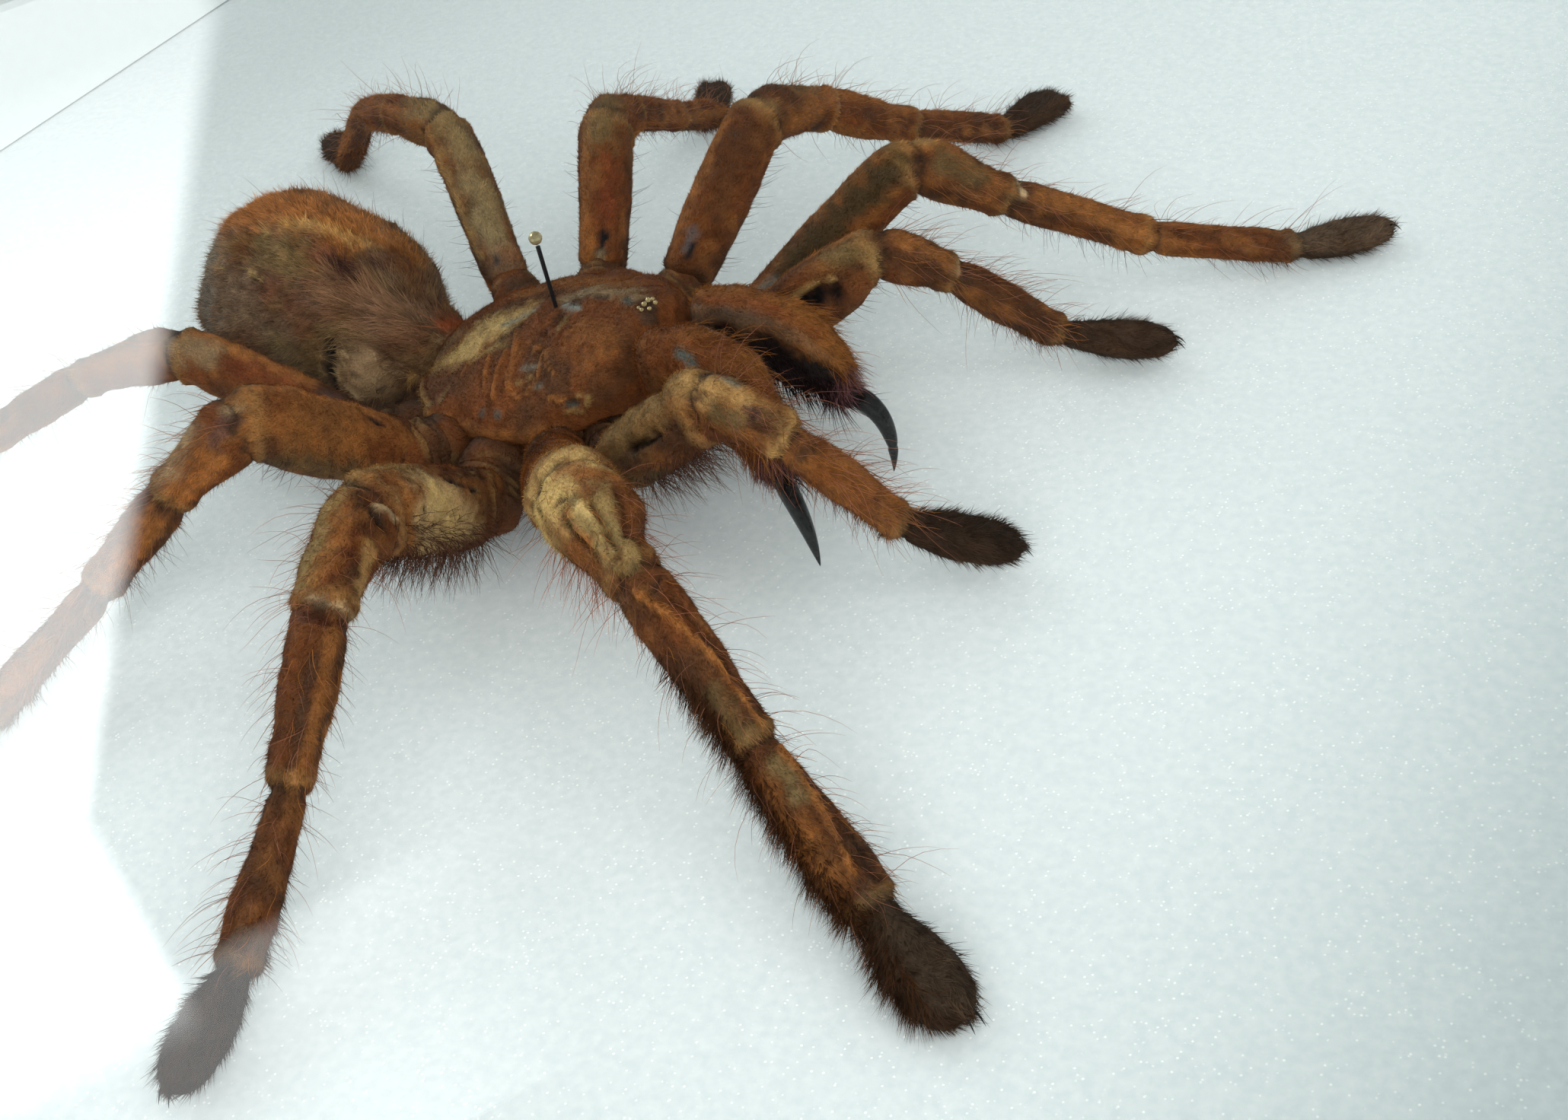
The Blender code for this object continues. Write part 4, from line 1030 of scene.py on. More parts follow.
def pane_material():
    """Clear picture glass: see-through, with a mirror's share that grows at a glance."""
    material, tree, shader = new_material("clear_glass")
    facing = node(tree, "ShaderNodeLayerWeight", {"Blend": 0.5}).outputs["Facing"]
    share = remap(tree, combine(tree, "POWER", facing, 5.0), 0, 1, 0.04, 1)
    clear = node(tree, "ShaderNodeBsdfTransparent", {"Color": CLEAR_GLASS}).outputs["BSDF"]
    mirror = node(tree, "ShaderNodeBsdfGlossy", {"Roughness": 0.0}).outputs["BSDF"]
    mixed = node(tree, "ShaderNodeMixShader", {"Fac": share, 1: clear, 2: mirror})
    tree.links.new(mixed.outputs["Shader"], tree.nodes["Material Output"].inputs["Surface"])
    tree.nodes.remove(shader)
    return material


# ------------------------------------------------------------ the frame


def dress_frame():
    """Give the solids of the frame, its board, its glass and the pin their materials."""
    # each has a colour, how far it varies, the grain's scale, a roughness and the grain's stretch
    rail = plain_material("white_paint", WHITE_PAINT, 0.05, 60, 0.42, (1, 1, 8))
    rail_side = plain_material("white_paint_side", WHITE_PAINT, 0.05, 60, 0.42, (8, 1, 1))
    panel = plain_material("hardboard", HARDBOARD, 0.25, 420, 0.8, depth=0.0002)
    foam = plain_material("white_foam", WHITE_FOAM, 0.02, 900, 0.6)
    steel, _, _ = new_material("black_steel", Base_Color=BLACK_STEEL, Metallic=0.3, Roughness=0.28)
    bead, _, _ = new_material("gold_bead", Base_Color=GOLD_BEAD, Metallic=0.7, Roughness=0.25)
    chosen = {
        "mounting_board": board_material(),
        "back_panel": panel,
        "glass_pane": pane_material(),
        "pin_shaft": steel,
        "pin_head": bead,
    }
    for side, paint in (("front", rail), ("back", rail), ("left", rail_side), ("right", rail_side)):
        chosen["frame_rail_" + side] = paint
        chosen["spacer_" + side] = foam
    for name, material in chosen.items():
        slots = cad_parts[name].data.materials
        slots.clear()
        slots.append(material)


# ------------------------------------------------------------ limbs


def limb_joints(name):
    """The ends of a limb's segments, from its coxa to its tip."""
    base, bearings, pitches, _ = LIMBS[name]
    side = 1 if name.endswith("left") else -1
    lengths = PALP_LENGTHS if name.startswith("palp") else LEG_LENGTHS[int(name[4])]
    joints = [np.array(base, float)]
    for length, bearing, pitch in zip(lengths, bearings, pitches):
        b, p = radians(bearing), radians(pitch)
        joints.append(joints[-1] + length * np.array((cos(b) * cos(p), side * sin(b) * cos(p), sin(p))))
    return joints


def limb_line(joints, gap=0.42):
    """Points along a limb, its bends rounded, and the segment number plus the share of it done."""
    ways = [b - a for a, b in zip(joints, joints[1:])]
    lengths = [np.linalg.norm(way) for way in ways]
    reaches = [BEND_SHARE * min(pair) + BEND_MORE for pair in zip(lengths, lengths[1:])]
    points, us = [], []
    for i, (start, way, length) in enumerate(zip(joints, ways, lengths)):
        before = reaches[i - 1] if i else 0.0
        after = reaches[i] if i < len(reaches) else 0.0
        count = max(3, int((length - before - after) / gap))
        share = np.linspace(before / length, 1 - after / length, count, endpoint=i == len(ways) - 1)
        points.append(start + way * share[:, None])
        us.append(i + share)
        if i < len(reaches):
            corner = joints[i + 1]
            far = ways[i + 1] / lengths[i + 1]
            t = np.linspace(0, 1, max(6, int(2 * after / gap)), endpoint=False)[:, None]
            low, high = corner - way / length * after, corner + far * after
            points.append((1 - t) ** 2 * low + 2 * t * (1 - t) * corner + t**2 * high)
            t = t[:, 0]
            reach = np.where(t < 0.5, after / length, after / lengths[i + 1])
            us.append(i + 1 + reach * (2 * t - 1))
    return np.concatenate(points), np.concatenate(us), lengths, reaches


def limb_sizes(us, lengths, reaches, sections, joint_sizes):
    """Half widths and half heights along a limb, from its segments' sections and its joints."""
    knots = [(-0.1, *[0.95 * v for v in sections[0][0][1:]])]
    for i, segment in enumerate(sections):
        knots += [(i + share, wide, tall) for share, wide, tall in segment]
        if i < len(joint_sizes):
            wide, tall = joint_sizes[i]
            knots.append((i + 1 - reaches[i] / lengths[i], wide * 1.05, tall * 1.05))
            knots.append((i + 1, wide, tall))
            knots.append((i + 1 + reaches[i] / lengths[i + 1], wide * 1.05, tall * 1.05))
    knots = np.array(sorted(knots))
    wide = smooth_rows(np.interp(us, knots[:, 0], knots[:, 1]), 3.0)
    tall = smooth_rows(np.interp(us, knots[:, 0], knots[:, 2]), 3.0)
    return wide, tall


def make_limb(name, seed):
    """The skin of a leg or a palp, lifted clear of the board where it would sink in."""
    palp = name.startswith("palp")
    gap, sides = NEAR_LIMB_GRID if name.endswith("right") else FAR_LIMB_GRID
    centres, us, lengths, reaches = limb_line(limb_joints(name), gap)
    sections, joint_sizes = (PALP_SECTIONS, PALP_JOINTS) if palp else (LEG_SECTIONS, LEG_JOINTS)
    wide, tall = limb_sizes(us, lengths, reaches, sections, joint_sizes)
    stout = LIMBS[name][3]
    wide, tall = wide * stout - LIMB_PILE, tall * stout - LIMB_PILE
    positions = travel(centres)
    wide, tall = (finish_ends(size, positions, round_off=1.6) for size in (wide, tall))
    ways = smooth_rows(np.gradient(centres, axis=0), 2.0)
    lowest = FOOT_CLEAR + tall * np.sqrt(1 - unit(ways)[:, 2] ** 2) + PILE
    centres[:, 2] = np.maximum(centres[:, 2], lowest)
    skin = Skin(ellipses(centres, ways, wide, tall, sides), us, RUST)
    position = np.broadcast_to(positions[:, None], skin.u.shape)

    def past_joint(i):
        """How far past a joint each point is, in mm, to a ragged edge."""
        return position - np.interp(i, us, positions) + 0.25 * noise(skin.points, 1.1, seed + 30 + i)

    # dried ridges and hollows that run along each segment
    local = np.stack([position * 0.22 + seed, 3.1 * np.cos(skin.theta), 3.1 * np.sin(skin.theta)], -1)
    folds = noise(local, 2.4, seed)
    grooves = np.abs(noise(local, 1.7, seed + 5))
    skin.push(0.2 * folds - 0.12 * grooves + 0.05 * noise(skin.points, 1.3, seed + 1))

    # each segment ends in a rim, and the next one starts lower, from a fold of soft skin
    for i in range(1, len(lengths)):
        past = past_joint(i)
        rim, fold, start = bell(past, -0.9, 0.8), bell(past, 0.45, 0.5), bell(past, 1.4, 0.9)
        skin.push(0.26 * rim - 0.42 * fold - 0.15 * start)

    # patches of colour, with painted light on the ridges of the folds and painted shade in their hollows,
    # then the marks, then the joints' own colours
    last = len(lengths) - 1
    skin.blend(step(-0.6, 1.1, noise(skin.points, 5.0, seed + 2)), BROWN)
    # ridges of the folds paler and their hollows darker: painted light and painted shade
    skin.blend(0.6 * step(0.1, 0.9, folds), BRIGHT * 0.85)
    skin.blend(0.5 * step(0.2, 1.0, -folds), BROWN * 0.75)
    skin.blend(0.5 * step(0.3, 1.0, noise(skin.points, 2.2, seed + 3)), BRIGHT * 0.8)
    skin.blend(0.9 * step(last - 0.06, last + 0.05, skin.u), UMBER)
    skin.add_marks(name)
    for i in range(1, len(lengths)):
        past = past_joint(i)
        skin.blend(0.35 * bell(past, -0.7, 0.6), GOLD * (0.5 if i == last else 0.75))
        skin.blend(0.8 * bell(past, 0.5, 0.4), UMBER * 0.7)
        skin.fur = skin.fur * (1 - 0.6 * bell(past, 0.8, 0.6))
    skin.mottle(0.8, seed + 4, 0.14)
    return skin


def limb_hair(name, skin, seed):
    """The coats and bristles of a limb, thicker on the near side, where they are seen closer."""
    near = name.endswith("right")
    last = len(limb_joints(name)) - 2
    up = np.sin(skin.theta)
    tarsal = step(last - 0.06, last + 0.06, skin.u)
    sole = step(last - 0.75, last - 0.1, skin.u) * step(0.1, 0.8, -up) * (1 - tarsal)
    shin = step(1.9, 2.2, skin.u) * (1 - tarsal)
    knee = step(1.0, 1.2, skin.u) * (1 - tarsal)
    thigh = step(0.05, 0.2, skin.u) * (1 - step(0.85, 1.0, skin.u))
    under = (thigh + 0.8 * shin) * step(-0.2, 0.7, -up)
    long = knee * (0.9 + up) * step(0.0, 0.3, skin.fur)
    seen = 1 - 0.65 * step(0.45, 0.95, -up)
    more = 0.35 if name == "leg_4_right" else 0.9 if near else 0.55
    dense, fine = (30 * more, 0.088) if near else (17, 0.12)
    parts = [
        # hairs on a square mm, length, width, lift, seed, where, and how pale their tips are
        coat(skin, dense, 0.5, fine, 0.42, seed, skin.fur * seen * (1 - 0.7 * tarsal)),
        coat(skin, 15 * more, 1.25, 0.11, 0.5, seed + 1, tarsal, 1.9, clump=1.1),
        coat(skin, 16 * more, 1.2, 0.1, 0.8, seed + 2, sole, 1.6, clump=1.0, paint=BROWN),
        coat(skin, 4 * more, 0.95, 0.08, 0.7, seed + 3, knee * skin.fur, 1.5, clump=1.0),
    ]
    lots = [
        # how many, where, length, thickness, lift, colour, bend, wave, drop and pieces
        (110, knee * (1.2 + up), 4.2, 0.085, 0.3, BRIGHT * 1.1, 0.25, 0.3, 0.0, 5),
        (170, long, 5.2, 0.05, 0.95, PINK * 0.75, 1.0, 0.15, 0.3, 5),
        (60, long, 8.0, 0.055, 1.05, PINK * 0.8, 1.2, 0.2, 0.4, 5),
        (330, under, 3.0, 0.05, 1.15, PURPLE + BROWN * 0.5, 0.5, 0.1, 0.0, 4),
        (110, tarsal * (1.2 + up), 2.2, 0.06, 0.7, UMBER * 1.3, 0.3, 0.12, 0.0, 5),
    ]
    for i, (count, where, length, thick, lift, *look) in enumerate(lots):
        parts.append(bristles(skin, int(count * more), where, length, thick, lift, seed + 4 + i, *look))
    if name == "leg_1_right":
        # a pink fringe under the knee, and a dark brush down one side of the foot
        lobe = step(0.9, 1.05, skin.u) * (1 - step(1.8, 2.0, skin.u)) * step(0.2, 0.7, -up)
        parts.append(bristles(skin, 260, lobe, 5.4, 0.065, 1.2, seed + 9, PINK, 0.4, 0.1, 0.6, pieces=4))
        brush = step(2.3, 2.8, skin.u) * step(0.5, 0.95, -np.cos(skin.theta)) * (1 - step(4.5, 4.9, skin.u))
        parts.append(coat(skin, 26, 2.2, 0.12, 0.8, seed + 10, brush, 1.4, clump=1.2, paint=BROWN * 0.9))
    if name in BELLY_FRINGES:
        count, belly = BELLY_FRINGES[name], thigh * step(0.2, 0.8, -up)
        # dark umber fringe: partly the hairs' own colour, partly painted shade under the thigh
        shade = UMBER + PINK * 0.2
        parts.append(bristles(skin, count, belly, 5.2, 0.07, 1.2, seed + 9, shade, 0.4, 0.1, 0.4, pieces=3))
    return parts


def claws(skin):
    """Two small hooks at the tip of a foot, as one skin each."""
    tip = skin.points[-1].mean(axis=0)
    way = unit(tip - skin.points[-12].mean(axis=0))
    side = unit(np.cross((0.0, 0.0, 1.0), way))
    made = []
    for sign in (-1, 1):
        t = np.linspace(0, 1, 9)
        centres = tip - way * 0.5 + side * sign * 0.42 + np.array((0, 0, 0.35))
        centres = centres + way * (1.7 * t[:, None]) + side * sign * 0.2 * t[:, None]
        centres[:, 2] = np.maximum(centres[:, 2] + 0.25 * np.sin(pi * t) - 0.9 * t**2, 0.12)
        half = 0.2 * (1 - t) ** 0.8 + 0.012
        made.append(ellipses(centres, np.gradient(centres, axis=0), half, half, 8))
    return made


def join_tubes(name, tubes, paint, material):
    """One object from several tubes with the same number of sides."""
    verts, faces, start = [], [], 0
    for points in tubes:
        rows, sides = points.shape[:2]
        verts.append(points.reshape(-1, 3))
        faces.append(grid_faces(rows, sides) + start)
        start += rows * sides
    verts = np.concatenate(verts)
    obj = make_mesh(name, verts, np.concatenate(faces), np.ones_like(verts) * paint)
    obj.data.materials.append(material)
    return obj


def settle(obj):
    """Put an object on the part's only body."""
    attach(obj, "root")


def add_limbs(velvet, hair, horn):
    """The skin, the fur and the claws of each leg and palp."""
    for i, name in enumerate(LIMBS):
        skin = make_limb(name, 100 * i)
        piece = skin_object(name + "_skin", skin, velvet)
        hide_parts(name)
        settle(piece)
        settle(hair_object(name + "_fur", limb_hair(name, skin, 100 * i + 50), hair))
        settle(join_tubes(name + "_claws", claws(skin), BLACK, horn))


# ------------------------------------------------------------ body


def lengthwise_skin(x, half, tall, height, sides, paint, way=1, lowers=1.0):
    """A skin along the spider's own middle, from its sizes at each x."""
    centres = np.stack([x, np.zeros_like(x), height], 1)
    ways = np.zeros_like(centres)
    ways[:, 0] = way
    return Skin(ellipses(centres, ways, half, tall, sides, lowers), x, paint)


def make_carapace():
    """The carapace, with its middle pit and the grooves that run out from it."""
    rows, sides = GRIDS["carapace"]
    table = np.array(CARAPACE)
    x = np.linspace(table[0, 0] - 0.2, table[-1, 0] + 0.2, rows)
    half, top, rim = (curve_through(table[:, 0], table[:, k], x) for k in (1, 2, 3))
    half = finish_ends(half - PILE, x, round_off=3.2)
    tall = finish_ends(top - rim - PILE, x, round_off=3.2)
    lowers = np.minimum(CARAPACE_UNDER / np.maximum(tall, 0.3), 1.0)
    skin = lengthwise_skin(x, half, tall, rim, sides, RUST, lowers=lowers)
    px, py = skin.points[..., 0], skin.points[..., 1]
    away = np.hypot(px - PIT_X, py)
    bearing = np.degrees(np.arctan2(np.abs(py), px - PIT_X))
    groove = np.zeros_like(px)
    for angle in GROOVE_BEARINGS:
        ray = bell(bearing + 5 * noise(skin.points, 6.0, 10), angle, 5.0)
        groove += ray * step(3.0, 7.0, away) * (1 - step(11, 15, away))
    groove += 1.6 * bell(px, PIT_X, 1.0) * bell(py, 0, 1.6)
    skin.push(-0.25 * groove + 0.22 * noise(skin.points, 4.5, 11) + 0.07 * noise(skin.points, 1.4, 12))
    skin.blend(step(-0.5, 1.2, noise(skin.points, 5.5, 13)), BROWN * 1.2)
    skin.blend(0.55 * step(0.1, 1.0, noise(skin.points, 2.6, 14)), RUST * 1.25)
    # darker along the grooves and in the middle pit: painted shade
    skin.blend(0.25 * np.clip(groove, 0, 1), BROWN)
    skin.add_marks("carapace")
    skin.mottle(0.8, 15, 0.14)
    return skin


def make_sternum():
    """The underside of the body, with soft flanks that reach out between the coxae."""
    rows, sides = GRIDS["sternum"]
    table = np.array(STERNUM)
    x = np.linspace(table[0, 0], table[-1, 0], rows)
    half, top, bottom = (np.interp(x, table[:, 0], table[:, k]) for k in (1, 2, 3))
    tall = finish_ends((top - bottom) / 2 - PILE, x, round_off=2.0)
    half = finish_ends(half + FLANK * step(-15, -10.5, x), x, round_off=2.0)
    # dark umber: partly the sternum's own colour, partly painted shade under the body and between the coxae
    skin = lengthwise_skin(x, half, tall, (top + bottom) / 2, sides, UMBER)
    skin.push(0.1 * noise(skin.points, 3.0, 21))
    return skin


def make_coxa(name, seed):
    """A coxa and its trochanter, from under the carapace to the leg."""
    base = np.array(LIMBS[name][0], float)
    root = np.array((base[0] * COXA_ROOT, base[1] * COXA_ROOT, COXA_ROOT_HIGH))
    out = base - root
    length = np.linalg.norm(out)
    rows, sides = GRIDS["coxa"]
    share = np.linspace(0, 1 + 1.2 / length, rows)
    size = (PALP_COXA_HALF if name.startswith("palp") else COXA_HALF) - PILE
    swell = np.interp(share, (0, 0.5, 0.85, 1.0, 1.2), (0.8, 1.0, 0.98, 0.86, 0.8))
    positions = share * length
    half = finish_ends(size * swell, positions, round_off=0.8)
    centres = root + out * share[:, None]
    ways = np.repeat(out[None], len(share), 0)
    skin = Skin(ellipses(centres, ways, half, half, sides), share, BROWN)
    ragged = positions[:, None] - length + 0.2 * noise(skin.points, 1.5, seed + 3)
    wrinkles = bell(ragged, -3.6, 0.45) + 0.6 * bell(ragged, -2.6, 0.3) + 0.8 * bell(ragged, -1.5, 0.3)
    lumps = 0.1 * noise(skin.points, 2.6, seed) + 0.05 * noise(skin.points, 1.0, seed + 1)
    skin.push(lumps - 0.35 * wrinkles)
    skin.blend(step(-0.6, 1.0, noise(skin.points, 3.0, seed + 2)), RUST)
    # darker in the wrinkles: painted shade
    skin.blend(0.6 * np.clip(wrinkles, 0, 1), UMBER)
    patchy = step(-0.2, 0.8, noise(skin.points, 1.8, seed + 4))
    for at in (-4.2, -2.1, -1.0):
        skin.blend(0.45 * bell(ragged, at, 0.25) * patchy, GOLD * 0.6)
    # the inner end, under the carapace, darker: painted shade
    skin.blend(0.8 * (1 - step(0.35, 0.75, skin.u)), UMBER * 0.7)
    skin.add_marks("coxa_" + name)
    return skin


def make_abdomen():
    """The abdomen, whose rows run from the waist to its end."""
    rows, sides = GRIDS["abdomen"]
    table = np.array(ABDOMEN)[::-1]
    x = np.linspace(table[0, 0], table[-1, 0], rows)
    half, tall, height = (curve_through(table[:, 0], table[:, k], x) for k in (1, 2, 3))
    half, tall = (finish_ends(size - PILE, x, round_off=2.6) for size in (half, tall))
    from_waist = (values[::-1] for values in (x, half, tall, height))
    skin = lengthwise_skin(*from_waist, sides, GREY_BROWN, way=-1)
    lumps = 0.45 * noise(skin.points, 7.0, 31) + 0.2 * noise(skin.points, 2.4, 32)
    skin.push(lumps + 0.08 * noise(skin.points, 1.0, 36))
    skin.blend(step(-0.7, 1.0, noise(skin.points, 4.0, 34)), BROWN * 1.15)
    skin.blend(0.5 * step(0.2, 1.0, noise(skin.points, 2.0, 37)), OLIVE * 0.7)
    skin.add_marks("abdomen")
    skin.colour = ABDOMEN_PALER * skin.colour
    skin.mottle(0.7, 35, 0.25)
    return skin


def inward_degrees(name, degrees):
    """Degrees round a chelicera that grow from its outer side over its top to its inner side."""
    return degrees if name.endswith("left") else (180 - degrees) % 360


def make_chelicera(name, seed):
    """A chelicera, with the hollow on its inner side, painted black as painted shade, and the bald strip
    above that.
    """
    rows, sides = GRIDS["chelicera"]
    line = CHELICERAE[name]
    spots = np.array([point for point, _, _ in line])
    fang = np.array(FANGS[name.replace("chelicera", "fang")][0])
    spots = np.concatenate([spots, [fang + (0.5, 0.0, -0.1)]])
    stations = np.arange(len(spots), dtype=float)
    fine = np.linspace(0, len(spots) - 1, rows)
    centres = np.stack([curve_through(stations, spots[:, k], fine) for k in range(3)], 1)
    centres += np.outer(1 - step(0, 1, fine), spots[0] - centres[0])
    centres += np.outer(step(stations[-2], stations[-1], fine), spots[-1] - centres[-1])
    half = np.interp(fine, stations, [w for _, w, _ in line] + [CHELICERA_END[0]]) - PILE
    tall = np.interp(fine, stations, [t for _, _, t in line] + [CHELICERA_END[1]]) - PILE
    positions = travel(centres)
    half, tall = (smooth_rows(size, 3.0) for size in (half, tall))
    half, tall = (finish_ends(size, positions, round_off=1.4) for size in (half, tall))
    ways = smooth_rows(np.gradient(centres, axis=0), 3.0)
    skin = Skin(ellipses(centres, ways, half, tall, sides), fine, RUST)
    skin.push(0.12 * noise(skin.points, 3.6, seed) + 0.04 * noise(skin.points, 1.2, seed + 1))
    inward = inward_degrees(name, np.degrees(skin.theta) + 5 * noise(skin.points, 2.5, seed + 4))
    skin.blend(step(-0.4, 1.1, noise(skin.points, 3.5, seed + 5)), BRIGHT * 0.62)
    # the hollow starts at a rim on the inner side, and the bald strip runs along above the rim
    rim = 146 - 3.5 * skin.u
    cavity = step(0, 10, inward - rim) * (1 - step(250, 270, inward)) * (1 - step(5.6, 6.2, skin.u))
    strip = step(112, 120, inward) * (1 - step(-2, 8, inward - rim)) * (1 - step(3.4, 4.8, skin.u))
    skin.push(-0.9 * cavity)
    skin.blend(0.85 * strip, GREY_BROWN * 0.55)
    # the hollow painted black: painted shade on the inner side, between the two chelicerae
    skin.blend(0.97 * cavity, BLACK)
    skin.bare = np.maximum(skin.bare, np.maximum(0.6 * strip, 0.4 * cavity))
    skin.fur = skin.fur * (1 - 0.7 * strip) * (1 - 0.5 * cavity)
    skin.blend(0.85 * step(5.0, 5.6, skin.u + 0.25 * noise(skin.points, 1.2, seed + 6)), PURPLE)
    skin.add_marks(name)
    skin.mottle(0.8, seed + 2, 0.15)
    return skin


def chelicera_hair(name, skin, seed):
    """The fur of a chelicera: coats, bristles on its back, its end and its inner side, and a long row."""
    inward = inward_degrees(name, np.degrees(skin.theta))
    upper = (1 - step(110, 140, inward)) + step(330, 350, inward)
    back = upper * step(1.0, 3.0, skin.u)
    end = step(4.6, 5.6, skin.u)
    inner = step(150, 175, inward) * (1 - step(235, 260, inward)) * step(1.8, 3.2, skin.u)
    parts = [
        # hairs on a square mm, or how many and where; length, width and lift; seed; then the look
        coat(skin, 28, 0.6, 0.09, 0.5, seed),
        coat(skin, 16, 1.4, 0.09, 0.8, seed + 1, end, 1.7, clump=1.0),
        bristles(skin, 260, back, 3.4, 0.06, 0.5, seed + 2, BRIGHT * 0.95, 0.5, 0.2),
        bristles(skin, 320, end, 2.6, 0.08, 0.9, seed + 3, PURPLE * 3.2, 0.5, 0.15, 0.5),
        bristles(skin, 260, inner, 4.2, 0.1, 0.9, seed + 5, PURPLE * 0.35, 0.5, 0.1, 0.5, pieces=3),
    ]
    if name.endswith("right"):
        ridge = bell(inward, 70, 28) * step(1.6, 2.4, skin.u) * (1 - step(5.2, 5.8, skin.u))
        parts.append(bristles(skin, 90, ridge, 6.0, 0.065, 0.8, seed + 4, BRIGHT * 0.9, 1.4, 0.1, 0.9))
    return parts


def fang_skin(name):
    """A fang: a curved horn that tapers to its tip, with a faint ring near its root."""
    rows, sides = GRIDS["fang"]
    a, b, c, d = (np.array(corner) for corner in FANGS[name])
    t = np.linspace(0, 1, rows)[:, None]
    centres = (1 - t) ** 3 * a + 3 * t * (1 - t) ** 2 * b + 3 * t**2 * (1 - t) * c + t**3 * d
    t = t[:, 0]
    half = (FANG_HALF * (1 - t**1.9) ** 0.85 + 0.03) * (1 - 0.08 * bell(t, 0.1, 0.04))
    return Skin(ellipses(centres, np.gradient(centres, axis=0), 0.82 * half, half, sides), t, BLACK)


def make_spinneret(name):
    side = 1 if name.endswith("left") else -1
    rows, sides = GRIDS["spinneret"]
    start = SPINNERET_AT * (1, side, 1)
    way = unit(SPINNERET_WAY * (1, side, 1)) * SPINNERET_LONG
    share = np.linspace(0, 1, rows)
    half = np.interp(share, (0, 0.25, 0.6, 0.9, 1.0), (0.8, 1.0, 0.9, 0.6, 0.3)) * SPINNERET_HALF
    half = finish_ends(half, share * SPINNERET_LONG, round_off=0.6)
    ways = np.repeat(way[None], len(share), 0)
    return Skin(ellipses(start + way * share[:, None], ways, half, half, sides), share, BROWN)


def add_eyes():
    """Eight low lenses on the eye mound."""
    shine, tree, shader = new_material("amber_lens", Roughness=0.08, Metallic=0.6, Coat_Weight=1.0)
    shade = remap(tree, grain(tree, 2500), 0.35, 0.65, 0.55, 1.0)
    tint = node(tree, "ShaderNodeRGB")
    tint.outputs[0].default_value = AMBER
    tree.links.new(times(tree, tint.outputs[0], shade), shader.inputs["Base Color"])
    t = np.linspace(-1, 1, 9)
    ways = np.tile((0.0, 1.0, 0.0), (len(t), 1))
    tubes = []
    for centre, radius in EYES:
        centres = np.array(EYE_MOUND) + centre + np.outer(t, (0, radius, 0))
        half = radius * np.sqrt(np.maximum(1 - t**2, 0.0001))
        tubes.append(ellipses(centres, ways, half, 0.8 * half, 12))
    settle(join_tubes("eye_lenses", tubes, GOLD, shine))


def add_body(velvet, hair, horn):
    """The skin and the fur of each part of the body, and the fangs' horn."""
    skins = {"carapace": make_carapace(), "sternum": make_sternum()}
    for i, name in enumerate(LIMBS):
        skins["coxa_" + name] = make_coxa(name, 400 + 10 * i)
    skins["abdomen"] = make_abdomen()
    for i, name in enumerate(CHELICERAE):
        skins[name] = make_chelicera(name, 600 + 10 * i)
    for name in ("spinneret_left", "spinneret_right"):
        skins[name] = make_spinneret(name)
    for i, (name, skin) in enumerate(skins.items()):
        piece = skin_object(name + "_skin", skin, velvet)
        if name == "carapace":
            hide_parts("cephalothorax")
        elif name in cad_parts:
            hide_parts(name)
        settle(piece)
        settle(hair_object(name + "_fur", body_hair(name, skin, 700 + 10 * i), hair))
    for name in FANGS:
        piece = skin_object(name + "_horn", fang_skin(name), horn)
        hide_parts(name)
        settle(piece)


def body_hair(name, skin, seed):
    """The fur of a part of the body, thinner where the camera doesn't look at it."""
    if name.startswith("chelicera"):
        return chelicera_hair(name, skin, seed)
    if name == "carapace":
        seen = skin.fur * (1 - 0.7 * step(0.2, 0.6, -np.sin(skin.theta)))
        seen = seen * (0.6 + 0.4 * step(-0.7, -0.3, -np.cos(skin.theta)))
        return [
            # hairs on a square mm, length, width, lift, seed and where
            coat(skin, 37, 0.42, 0.08, 0.45, seed, seen),
            coat(skin, 4, 0.7, 0.07, 0.8, seed + 1, seen),
        ]
    if name == "abdomen":
        silk = skin.fur * bell(skin.reach(SILK_LINE), 0, 3.4)
        wisps = step(0.2, 1.0, np.sin(skin.theta)) + 0.2
        seen = skin.fur * (1 - 0.7 * step(0.3, 0.7, -np.sin(skin.theta)))
        seen = seen * (0.5 + 0.5 * step(-0.5, 0.0, np.cos(skin.theta)))
        return [
            coat(skin, 25, 0.6, 0.1, 0.55, seed, seen),
            coat(skin, 8, 1.3, 0.09, 0.7, seed + 1, seen, clump=1.4),
            coat(skin, 26, 2.6, 0.1, 0.3, seed + 2, silk, clump=1.6),
            bristles(skin, 160, wisps, 3.4, 0.045, 1.0, seed + 3, BROWN * 1.5, 0.5),
        ]
    return [coat(skin, 14 if name.endswith("right") else 5, 0.55, 0.11, 0.5, seed)]


# ------------------------------------------------------------ light and camera


def in_frame(point):
    """A point in the spider's mm as a Vector in the frame's metres."""
    return Vector((np.array(point) + SPIDER_AT) * MM)


def add_area_light(name, x_axis, y_axis, centre, size, radiance, colour):
    """A rectangular lamp that shines along minus the product of its axes; its size is in mm."""
    light = bpy.data.lights.new(name, "AREA")
    light.shape = "RECTANGLE"
    light.size, light.size_y = size[0] * MM, size[1] * MM
    light.energy = radiance * pi * light.size * light.size_y
    light.color = colour
    obj = bpy.data.objects.new(name, light)
    axes = Matrix((x_axis, y_axis, x_axis.cross(y_axis))).transposed()
    obj.matrix_world = Matrix.Translation(centre) @ axes.to_4x4()
    obj.visible_camera = False
    bpy.context.scene.collection.objects.link(obj)
    return obj


